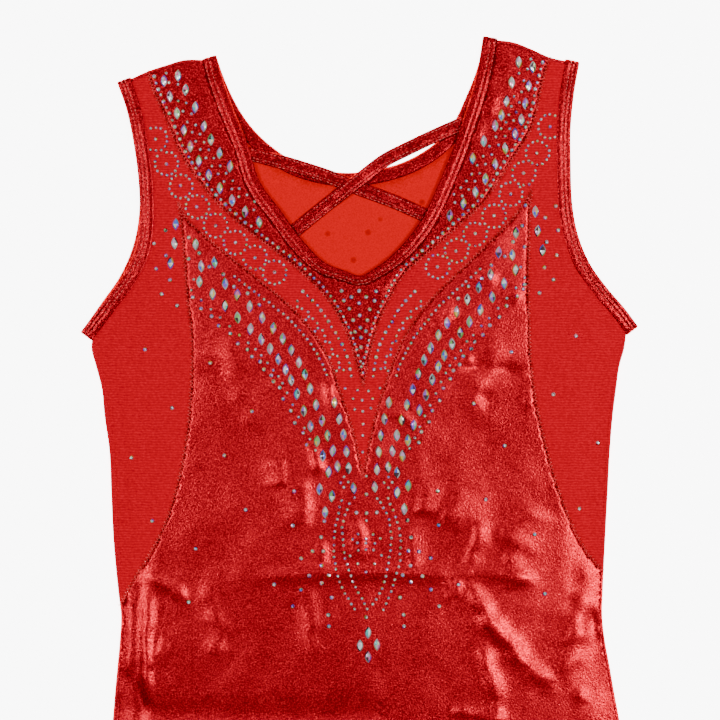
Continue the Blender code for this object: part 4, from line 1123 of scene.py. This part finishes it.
def apply_group(obj, group, values):
    """Runs a node group on an object with its inputs set by name, and keeps the result as its mesh."""
    modifier = obj.modifiers.new(group.name, "NODES")
    modifier.node_group = group
    for item in group.interface.items_tree:
        if item.item_type == "SOCKET" and item.in_out == "INPUT" and item.name in values:
            modifier[item.identifier] = values[item.name]
    graph = bpy.context.evaluated_depsgraph_get()
    mesh = bpy.data.meshes.new_from_object(obj.evaluated_get(graph), preserve_all_data_layers=True,
                                           depsgraph=graph)
    obj.modifiers.clear()
    old = obj.data
    obj.data = mesh
    bpy.data.meshes.remove(old)
    mesh.name = obj.name
    return obj


def stones_group():
    """One stone on each point, turned and sized by the point's own values."""
    group, source, result = node_group("Stones on points", (
        ("Stone", "NodeSocketObject"), ("Finish", "NodeSocketMaterial")))
    new, link = group.nodes.new, group.links.new
    stone = new("GeometryNodeObjectInfo")
    link(source.outputs["Stone"], stone.inputs["Object"])
    turn = new("GeometryNodeInputNamedAttribute")
    turn.data_type = "FLOAT_VECTOR"
    turn.inputs["Name"].default_value = "turn"
    size = new("GeometryNodeInputNamedAttribute")
    size.data_type = "FLOAT"
    size.inputs["Name"].default_value = "size"
    place = new("GeometryNodeInstanceOnPoints")
    link(source.outputs["Geometry"], place.inputs["Points"])
    link(stone.outputs["Geometry"], place.inputs["Instance"])
    angle = new("FunctionNodeEulerToRotation")
    link(turn.outputs["Attribute"], angle.inputs["Euler"])
    link(angle.outputs["Rotation"], place.inputs["Rotation"])
    link(size.outputs["Attribute"], place.inputs["Scale"])
    return realized(group, source, result, place)


def stitches_group():
    """Stitches along lines at an even pitch, each turned by an angle to the left or right in turn."""
    group, source, result = node_group("Stitches along lines", (
        ("Stitch", "NodeSocketObject"), ("Finish", "NodeSocketMaterial"),
        ("Pitch", "NodeSocketFloat"), ("Slant", "NodeSocketFloat")))
    new, link = group.nodes.new, group.links.new
    stitch = new("GeometryNodeObjectInfo")
    link(source.outputs["Stitch"], stitch.inputs["Object"])
    curve = new("GeometryNodeMeshToCurve")
    link(source.outputs["Geometry"], curve.inputs["Mesh"])
    even = new("GeometryNodeResampleCurve")
    even.mode = "LENGTH"
    link(curve.outputs["Curve"], even.inputs["Curve"])
    link(source.outputs["Pitch"], even.inputs["Length"])
    tangent = new("GeometryNodeInputTangent")
    align = new("FunctionNodeAlignRotationToVector")
    align.axis = "X"
    link(tangent.outputs["Tangent"], align.inputs["Vector"])
    index = new("GeometryNodeInputIndex")
    parity = new("ShaderNodeMath")
    parity.operation = "MODULO"
    link(index.outputs["Index"], parity.inputs[0])
    parity.inputs[1].default_value = 2.0
    sign = new("ShaderNodeMath")
    sign.operation = "MULTIPLY_ADD"
    link(parity.outputs[0], sign.inputs[0])
    sign.inputs[1].default_value = 2.0
    sign.inputs[2].default_value = -1.0
    slant = new("ShaderNodeMath")
    slant.operation = "MULTIPLY"
    link(sign.outputs[0], slant.inputs[0])
    link(source.outputs["Slant"], slant.inputs[1])
    about = new("FunctionNodeAxisAngleToRotation")
    about.inputs["Axis"].default_value = (0.0, 0.0, 1.0)
    link(slant.outputs[0], about.inputs["Angle"])
    turned = new("FunctionNodeRotateRotation")
    turned.rotation_space = "GLOBAL"
    link(align.outputs["Rotation"], turned.inputs["Rotation"])
    link(about.outputs["Rotation"], turned.inputs["Rotate By"])
    place = new("GeometryNodeInstanceOnPoints")
    link(even.outputs["Curve"], place.inputs["Points"])
    link(stitch.outputs["Geometry"], place.inputs["Instance"])
    link(turned.outputs["Rotation"], place.inputs["Rotation"])
    return realized(group, source, result, place)


def stitch_template(name, length, width):
    """A short thread with rounded ends, lying along X. Sizes are in millimetres."""
    sides = 6
    verts = [(-length / 2, 0.0, 0.0)]
    rings = ((-0.36, 0.75), (0.0, 1.0), (0.36, 0.75))
    for along, fat in rings:
        for k in range(sides):
            a = 2 * math.pi * k / sides
            verts.append((along * length, math.cos(a) * width / 2 * fat, math.sin(a) * width / 2 * fat))
    verts.append((length / 2, 0.0, 0.0))
    last = len(verts) - 1
    faces = []
    for k in range(sides):
        m = (k + 1) % sides
        faces.append((0, 1 + m, 1 + k))
        for r in range(len(rings) - 1):
            a, b = 1 + r * sides, 1 + (r + 1) * sides
            faces.append((a + k, a + m, b + m, b + k))
        faces.append((last, last - sides + k, last - sides + m))
    return outwards(new_object(name, verts, faces, ()))


def stone_template(name, outline, rings):
    """A faceted stone of unit scale from an outline and rings of (scale, height), with a flat top."""
    verts, faces = [], []
    count = len(outline)
    for scale, height in rings:
        verts += [(x * scale, y * scale, height) for x, y in outline]
    for r in range(len(rings) - 1):
        a, b = r * count, (r + 1) * count
        for k in range(count):
            m = (k + 1) % count
            faces.append((a + k, a + m, b + m))
            faces.append((a + k, b + m, b + k))
    top = (len(rings) - 1) * count
    verts.append((0.0, 0.0, rings[-1][1] * PEAK))
    peak = len(verts) - 1
    faces += [(top + k, top + (k + 1) % count, peak) for k in range(count)]
    faces.append(tuple(reversed(range(count))))
    obj = outwards(new_object(name, verts, faces, (), smooth=False))
    width = max(x for x, _ in outline)
    # Each facet gets a group for its painted reflection colour, and the rim's facets a painted shade
    values, tones = [], []
    for face in obj.data.polygons:
        x, y = (sum(verts[i][k] for i in face.vertices) / len(face.vertices) for k in (0, 1))
        rim = min(face.vertices) < 2 * count
        values.append(float(FACET_GROUPS * rim + 2 * (y > 0) + (x > 0.1 * width)))
        tones.append(RIM_SHADE if rim else 1.0)
    obj.data.attributes.new("facet", "FLOAT", "FACE").data.foreach_set("value", values)
    obj.data.attributes.new("tone", "FLOAT", "FACE").data.foreach_set("value", tones)
    return obj


def navette_outline():
    """Fourteen points of a pointed oval, long axis along the garment."""
    ys = [math.sin(math.pi * k / 14) for k in range(-7, 8)]
    side = [(BEAD_WIDTH / 2 * NAVETTE_SLIM * (1.0 - y * y), y * BEAD_LENGTH / 2) for y in ys]
    return side[:-1] + [(-x, y) for x, y in reversed(side)][:-1]


def round_outline():
    """Eight points of a round stone of width one."""
    return [(0.5 * math.cos(math.pi * k / 4 + 0.2), 0.5 * math.sin(math.pi * k / 4 + 0.2))
            for k in range(8)]


def row_places(row, plan):
    """Middles of the stones of one row on both sides of the garment."""
    places = []
    for side, mirror in (("left", 1.0), ("right", -1.0)):
        line = plan.seams[row.seam + "_" + side]
        length = run_of(line)[-1]
        inward = SEAM_SIDE[row.seam] * mirror
        for k in range(row.count):
            t = k / max(1, row.count - 1)
            inset = ((1 - t) * (1 - 2 * t) * row.inset_start + 4 * t * (1 - t) * row.inset_middle
                     + t * (2 * t - 1) * row.inset_end) + row.sway * (1 if k % 2 else -1)
            run = row.first + k * row.pitch
            if run < length:
                place, left = run_along(line, run)
                places.append(place + left * inward * inset)
    return places


def navette_outline_at(centre):
    half_l, half_w = BEAD_LENGTH / 2, BEAD_WIDTH / 2
    corners = ((0.0, half_l), (-half_w, half_l * 0.3), (-half_w, -half_l * 0.3),
               (0.0, -half_l), (half_w, -half_l * 0.3), (half_w, half_l * 0.3))
    return np.array([(centre[0] + x, centre[1] + y) for x, y in corners])


def navette_places(plan, loops):
    """Middles of all navettes, the same ones that the CAD seats."""
    seated = []
    for panel, rows in NAVETTE_ROWS.items():
        edge = offset_line(loops[panel], SEAM_GAP / 2, closed=True)
        closed = np.vstack((edge, edge[:1]))
        reach = np.array((BEAD_WIDTH, BEAD_LENGTH)) + SEAM_GAP
        places = [p for row in rows for p in row_places(row, plan)]
        if panel == "front_body":
            places += [np.array(p) for p in CENTRE_NAVETTES]
        here = []
        for place in places:
            outline = navette_outline_at(place)
            if not inside(outline, edge).all() or distance_to(outline, closed).min() < SEAM_GAP:
                continue
            if all(np.linalg.norm((place - other) / reach) > 1.0 for other in here):
                here.append(place)
        seated += here
    return np.array(seated)


def v_middle(y):
    """Middle line of the V at a height."""
    return V_TIP.x + (y - V_TIP.y) * V_LEAN


def mirrored(x, y, side):
    """A point of the left side, or its mirror image over the V's middle line."""
    middle = v_middle(y)
    return np.array((middle + side * (x - middle), y))


def spread_out(middle, y, spread, count):
    """Places side by side at one height, spread evenly about a middle."""
    shares = [2.0 * k / (count - 1) - 1.0 for k in range(count)] if count > 1 else [0.0]
    return [np.array((middle + spread * share, y)) for share in shares]


def wanted_rounds(plan):
    """Place, size and panel of every round stone that the rules ask for, in a fixed order."""
    wanted = []
    for panel, rows in ROUND_ROWS.items():
        for row in rows:
            wanted += [(place, row.size, panel) for place in row_places(row, plan)]
    for side, mirror in (("left", 1.0), ("right", -1.0)):
        line = plan.seams["yoke_" + side]
        for k in range(RING_COUNT):
            place, left = run_along(line, RING_FIRST + k * RING_PITCH)
            middle = place + left * mirror * RING_INSET
            wanted.append((middle, LARGE * RING_MIDDLE, "front_mesh"))
            for i in range(RING_STONES):
                a = 2 * math.pi * (i + 0.5) / RING_STONES
                rim = middle + RING_RADIUS * np.array((math.cos(a), math.sin(a)))
                wanted.append((rim, SMALL, "front_mesh"))
    for line in ROUND_LINES:
        wanted += [(place, line.size, "front_body") for place in smooth_line(line.knots, line.pitch)]
    for y, spread, count, size in GROUP_ROWS:
        wanted += [(place, size, "front_body") for place in spread_out(MIDDLE_X, y, spread, count)]
    for x in (MIDDLE_X - DIAMOND_OFF, MIDDLE_X + DIAMOND_OFF):
        for dx, dy in ((0, 1), (1, 0), (0, -1), (-1, 0)):
            corner = np.array((x + dx * DIAMOND_WIDTH, DIAMOND_Y + dy * DIAMOND_REACH))
            wanted.append((corner, SMALL, "front_body"))
    for y, spread in LOWER_V:
        for x in {LOWER_V_X - spread, LOWER_V_X + spread}:
            wanted.append((np.array((x, y)), SMALL, "front_mesh"))
    for y, spread, count in V_ROWS:
        wanted += [(place, LARGE, "neck_foil") for place in spread_out(v_middle(y), y, spread, count)]
    for side in (1.0, -1.0):
        for k, (x, y) in enumerate(smooth_line(BAND_LINE, BAND_LINE_PITCH)):
            wanted.append((mirrored(x, y, side), SMALL if k % 2 else LARGE, "front_mesh"))
        for x, y in smooth_line(ARROW_LINE, ARROW_PITCH):
            wanted += [(mirrored(x + dx, y + dy, side), SMALL, "front_mesh") for dx, dy in ARROW]
    return wanted


def round_places(plan, loops, navettes):
    """Middles and sizes of the round stones that lie on their panel and clear of the others."""
    rng = np.random.default_rng(PLACE_SEED)
    reach = np.array((BEAD_WIDTH, BEAD_LENGTH))
    places, sizes = [], []
    edges = {panel: np.vstack((loop, loop[:1])) for panel, loop in loops.items()}
    for place, size, panel in wanted_rounds(plan):
        place = place + rng.normal(0.0, STRAY, 2)
        if not inside(place[None], loops[panel])[0]:
            continue
        if distance_to(place[None], edges[panel])[0] < size / 2:
            continue
        if np.linalg.norm((navettes - place) / (reach / 2 + size / 2), axis=1).min() < 1.0:
            continue
        if places:
            apart = np.linalg.norm(np.array(places) - place, axis=1)
            if np.min(apart - (np.array(sizes) + size) / 2) < STONE_GAP:
                continue
        places.append(place)
        sizes.append(size)
    return np.array(places), np.array(sizes)


def point_object(name, places, sizes, plan, jitter):
    """Points on the cloth, each with the turn, size and shade of its stone."""
    rng = np.random.default_rng(TURN_SEED)
    slope_x, slope_y = ((plan.front_top(places + step) - plan.front_top(places - step)) / (2 * SLOPE_STEP)
                        for step in (np.array((SLOPE_STEP, 0.0)), np.array((0.0, SLOPE_STEP))))
    spin = rng.normal(0.0, jitter, len(places))
    turns = np.column_stack((np.arctan(slope_y), -np.arctan(slope_x), spin))
    shades = SHADE_STEP * rng.integers(0, SHADES, len(places)).astype(float)
    obj = new_object(name, np.column_stack((places, plan.front_top(places))), [], ())
    for label, kind, field, values in (("turn", "FLOAT_VECTOR", "vector", turns.ravel()),
                                       ("size", "FLOAT", "value", sizes),
                                       ("shade", "FLOAT", "value", shades)):
        obj.data.attributes.new(label, kind, "POINT").data.foreach_set(field, values)
    return obj


class LeotardSettings(bpy.types.PropertyGroup):
    """Sizes and colours of the leotard."""
    wall: bpy.props.FloatProperty(name="Shell", description="Thickness of the cloth shells",
                                  default=0.0006, subtype="DISTANCE", unit="LENGTH")
    stitch_length: bpy.props.FloatProperty(name="Stitch", description="Length of a running stitch",
                                           default=0.0017, subtype="DISTANCE", unit="LENGTH")
    stitch_pitch: bpy.props.FloatProperty(name="Stitch pitch",
                                          description="Distance between running stitches",
                                          default=0.0023, subtype="DISTANCE", unit="LENGTH")
    cross_length: bpy.props.FloatProperty(name="Cross stitch",
                                          description="Length of a slanting stitch over a seam",
                                          default=0.0031, subtype="DISTANCE", unit="LENGTH")
    cross_pitch: bpy.props.FloatProperty(name="Cross pitch",
                                         description="Distance between slanting stitches",
                                         default=0.0011, subtype="DISTANCE", unit="LENGTH")
    thread_width: bpy.props.FloatProperty(name="Thread", description="Thickness of the thread",
                                          default=0.00052, subtype="DISTANCE", unit="LENGTH")
    foil_dark: bpy.props.FloatVectorProperty(name="Foil, dark", description="Ground of the foil",
                                             default=(0.32, 0.0045, 0.012), subtype="COLOR", min=0.0, max=1.0)
    foil_light: bpy.props.FloatVectorProperty(name="Foil, light", description="Glitter of the foil",
                                              default=(0.65, 0.007, 0.021), subtype="COLOR", min=0.0, max=1.0)
    mesh_colour: bpy.props.FloatVectorProperty(name="Mesh", description="Colour of the knitted mesh",
                                               default=(0.84, 0.0, 0.019), subtype="COLOR", min=0.0, max=1.0)
    inside_colour: bpy.props.FloatVectorProperty(name="Inside", description="Colour of the back's inside",
                                                 default=(0.95, 0.0, 0.006), subtype="COLOR", min=0.0, max=1.0)
    floor_colour: bpy.props.FloatVectorProperty(name="Floor", description="Colour of the table",
                                                default=(0.93, 0.93, 0.93), subtype="COLOR", min=0.0, max=1.0)


def settings():
    return bpy.context.scene.leotard


def cloth(kind):
    """The material of one kind of cloth, thread or stone, made once."""
    found = bpy.data.materials.get(kind)
    if found is not None:
        return found
    s = settings()
    if kind in FOIL_SHADE_SHARES:
        # The neck foil and the bindings are the same foil painted darker, as painted shade
        dark, light = FOIL_SHADE_SHARES[kind]
        return foil_material(kind, toned(s.foil_dark, dark), toned(s.foil_light, light))
    if kind in THREADS_WITH_GLINTS:
        return thread_material(kind, *THREADS_WITH_GLINTS[kind])
    if kind == "mesh":
        return mesh_material(kind, tuple(s.mesh_colour))
    if kind == "inside":
        return inside_material(kind, tuple(s.inside_colour))
    return stone_material(kind)


def declare(obj, loop=None, area=None, replaces=None):
    """Ties a piece to the frame and hides the CAD part it replaces. A sheet's cut is worked out here but
    stated nowhere.
    """
    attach(obj, "root")
    if replaces:
        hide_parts(replaces)
    if loop is not None:
        area = abs(signed_area(loop)) * MM * MM
        width, length = (loop.max(axis=0) - loop.min(axis=0)) * MM
        if area < CUT_SHARE * width * length:
            width = area / (CUT_SHARE * length)


def declare_strip(obj, line, shown, replaces=None):
    """Ties a strip of cloth to the frame and hides the CAD part it replaces; the area of its face that shows
    is worked out but stated nowhere.
    """
    length = run_of(line)[-1] * MM
    declare(obj, area=shown * MM * length, replaces=replaces)


def rolled_edge(name, line, outward, width, plan, materials, cut=None):
    """Rolls a strip round a folded edge and ties it to the frame. Outward is the way out of the garment."""
    middle = normals(line)[len(line) // 2]
    sign = 1.0 if middle @ np.array(outward) > 0 else -1.0
    obj = wrap_strip(name, line, sign, width, plan.front_top, materials, cut)
    declare_strip(obj, line, width + ROLL_TURN)


def back_top(points):
    """Upper face of the back, which lies flat on the table."""
    return np.full(len(points), CLOTH)


class LEOTARD_OT_back(bpy.types.Operator):
    """Lays the back panels flat on the table, inside up"""
    bl_idname = "leotard.back"
    bl_label = "Back panels"

    def execute(self, context):
        for name, loop in Plan().back_loops().items():
            body = name == "back_body"
            obj = shell(name + "_cloth", loop, back_top, CLOTH, BACK_CELL,
                        cloth("inside" if body else "mesh"), cloth("foil" if body else "mesh"))
            declare(obj, loop, replaces=name)
        return {"FINISHED"}


class LEOTARD_OT_front(bpy.types.Operator):
    """Lays the front panels on the back, with their folds and creases"""
    bl_idname = "leotard.front"
    bl_label = "Front panels"

    def execute(self, context):
        plan = Plan()
        wall = settings().wall / MM
        for name, loop in plan.front_loops().items():
            kind = {"front_mesh": "mesh", "neck_foil": "neck_foil"}.get(name, "foil")
            obj = shell(name + "_cloth", loop, plan.front_top, wall, TOP_CELL,
                        cloth(kind), cloth("mesh" if kind == "mesh" else "inside"))
            declare(obj, loop, replaces=name)
        return {"FINISHED"}


class LEOTARD_OT_edges(bpy.types.Operator):
    """Rolls the cloth round the folded sides and shoulders"""
    bl_idname = "leotard.edges"
    bl_label = "Folded edges"

    def execute(self, context):
        plan = Plan()
        for side, outward, end in (("left", -1.0, FLANK_END_LEFT), ("right", 1.0, FLANK_END_RIGHT)):
            line = plan.side_line(side, "front")
            rolled_edge("side_roll_" + side, line, (outward, 0.0), SIDE_ROLLS[side], plan,
                        (cloth("mesh"), cloth("foil")), nearest_row(line, end))
        for side in ("left", "right"):
            line = plan.shoulder(side, "front", "whole")
            rolled_edge("shoulder_roll_" + side, line, (0.0, 1.0), SHOULDER_ROLL, plan, (cloth("foil"),))
        return {"FINISHED"}


class LEOTARD_OT_bindings(bpy.types.Operator):
    """Lays the bindings round the openings and the two crossed straps"""
    bl_idname = "leotard.bindings"
    bl_label = "Bindings and straps"

    def execute(self, context):
        plan = Plan()
        for band in BANDS:
            sections = binding_sections(band.key, plan)
            verts, faces = sweep(sections, band.sewing, CLOTH / 2, True)
            # The bindings and straps take the foil painted darker, as painted shade
            obj = outwards(new_object(band.name + "_cloth", verts, faces, (cloth("band_foil"),)))
            middle = np.array([(free + inner)[:2] / 2 for free, inner, _ in sections])
            declare_strip(obj, middle, STRIP_SHOWN, band.name)
        for name, rows, hop in STRAPS:
            verts, faces = sweep(strap_sections(rows, hop), STRAP_SEWING, STRAP_THICK / 2, False)
            obj = outwards(new_object(name + "_cloth", verts, faces, (cloth("band_foil"),)))
            declare_strip(obj, smooth_line(rows, BAND_STEP), STRIP_SHOWN, name)
        return {"FINISHED"}


class LEOTARD_OT_sewing(bpy.types.Operator):
    """Sews the bindings and straps with rows of stitches and the seams with slanting ones"""
    bl_idname = "leotard.sewing"
    bl_label = "Sewing"

    def execute(self, context):
        plan = Plan()
        s = settings()
        running = []
        for band in BANDS:
            sections = binding_sections(band.key, plan)
            running += [sewing_line(sections, row, CLOTH / 2) for row in band.sewing]
        for _, rows, hop in STRAPS:
            sections = strap_sections(rows, hop)
            running += [sewing_line(sections, row, STRAP_THICK / 2) for row in STRAP_SEWING]
        slanting = [np.column_stack((line, plan.front_top(line) + SEAM_STITCH_LIFT))
                    for line in plan.seams.values()]
        group = stitches_group()
        for name, finish, lines, length, pitch, slant in (
                ("binding_stitches", "bright_thread", running, s.stitch_length, s.stitch_pitch,
                 STITCH_SLANT),
                ("seam_stitches", "thread", slanting, s.cross_length, s.cross_pitch, CROSS_SLANT)):
            template = stitch_template(name + "_one", length / MM, s.thread_width / MM)
            obj = line_object(name, lines)
            apply_group(obj, group, {"Stitch": template, "Finish": cloth(finish),
                                     "Pitch": pitch, "Slant": slant})
            bpy.data.objects.remove(template)
            declare(obj)
        return {"FINISHED"}


def sewing_line(sections, share, half):
    """The line of a sewing row on a band, just over its channel."""
    return np.array([free + (inner - free) * share + up * (half * (1.0 - CHANNEL) + STITCH_LIFT)
                     for free, inner, up in sections])


def line_object(name, lines):
    """One mesh of open lines from points in millimetres."""
    verts, edges = [], []
    for line in lines:
        first = len(verts)
        verts += [tuple(p * MM) for p in line]
        edges += [(first + i, first + i + 1) for i in range(len(line) - 1)]
    mesh = bpy.data.meshes.new(name)
    mesh.from_pydata(verts, edges, [])
    obj = bpy.data.objects.new(name, mesh)
    bpy.context.scene.collection.objects.link(obj)
    return obj


class LEOTARD_OT_stones(bpy.types.Operator):
    """Sets the navettes and the round stones on the front"""
    bl_idname = "leotard.stones"
    bl_label = "Stones"

    def execute(self, context):
        plan = Plan()
        loops = plan.front_loops()
        navettes = navette_places(plan, loops)
        rounds, sizes = round_places(plan, loops, navettes)
        group = stones_group()
        for name, outline, rings, places, size, turn in (
                ("navette", navette_outline(), NAVETTE_RINGS, navettes, np.ones(len(navettes)),
                 NAVETTE_TURN),
                ("round", round_outline(), ROUND_RINGS, rounds, sizes, ROUND_TURN)):
            template = stone_template(name + "_one", outline, rings)
            obj = point_object(name + "_stones", places, size, plan, turn)
            apply_group(obj, group, {"Stone": template, "Finish": cloth("stone")})
            bpy.data.objects.remove(template)
            declare(obj)
        return {"FINISHED"}


class LEOTARD_OT_stage(bpy.types.Operator):
    """Sets the table, the lights and the camera"""
    bl_idname = "leotard.stage"
    bl_label = "Table, lights and camera"

    def execute(self, context):
        scene = context.scene
        corners = [(x * FLOOR_REACH, y * FLOOR_REACH, -FLOOR_DROP)
                   for x, y in ((-1, -1), (1, -1), (1, 1), (-1, 1))]
        finish = plain_material("table", tuple(settings().floor_colour), FLOOR_ROUGHNESS, FLOOR_GLOW)
        floor = new_object("table_top", corners, [(0, 1, 2, 3)], (finish,))
        world = bpy.data.worlds.new("soft_room")
        world.use_nodes = True
        world.node_tree.nodes["Background"].inputs["Color"].default_value = (1.0, 1.0, 1.0, 1.0)
        world.node_tree.nodes["Background"].inputs["Strength"].default_value = ROOM_LIGHT
        scene.world = world
        for name, place, size, power in LIGHTS:
            light = bpy.data.lights.new(name, "AREA")
            light.shape = "RECTANGLE"
            light.size, light.size_y = size
            light.energy = power
            lamp = bpy.data.objects.new(name, light)
            lamp.location = place
            aim = Vector(LIGHT_AIM) - Vector(place)
            lamp.rotation_euler = aim.to_track_quat("-Z", "Y").to_euler()
            scene.collection.objects.link(lamp)
        lens = bpy.data.cameras.new("camera_over_table")
        lens.lens = CAMERA_LENS
        lens.sensor_width = 36.0
        lens.clip_start = 0.1
        camera = bpy.data.objects.new("camera_over_table", lens)
        camera.location = CAMERA_PLACE
        scene.collection.objects.link(camera)
        scene.camera = camera
        return {"FINISHED"}


class LEOTARD_PT_panel(bpy.types.Panel):
    """The steps that build the leotard, in order"""
    bl_idname = "LEOTARD_PT_panel"
    bl_label = "Leotard"
    bl_space_type = "VIEW_3D"
    bl_region_type = "UI"
    bl_category = "Leotard"

    def draw(self, context):
        for step in STEPS:
            self.layout.operator(step.bl_idname)


STEPS = (LEOTARD_OT_back, LEOTARD_OT_front, LEOTARD_OT_edges, LEOTARD_OT_bindings,
         LEOTARD_OT_sewing, LEOTARD_OT_stones, LEOTARD_OT_stage)
CLASSES = (LeotardSettings,) + STEPS + (LEOTARD_PT_panel,)


def register():
    for item in CLASSES:
        bpy.utils.register_class(item)
    bpy.types.Scene.leotard = bpy.props.PointerProperty(type=LeotardSettings)


def unregister():
    del bpy.types.Scene.leotard
    for item in reversed(CLASSES):
        bpy.utils.unregister_class(item)


def main():
    register()
    for step in (bpy.ops.leotard.back, bpy.ops.leotard.front, bpy.ops.leotard.edges,
                 bpy.ops.leotard.bindings, bpy.ops.leotard.sewing, bpy.ops.leotard.stones,
                 bpy.ops.leotard.stage):
        step()


if __name__ == "__main__":
    main()
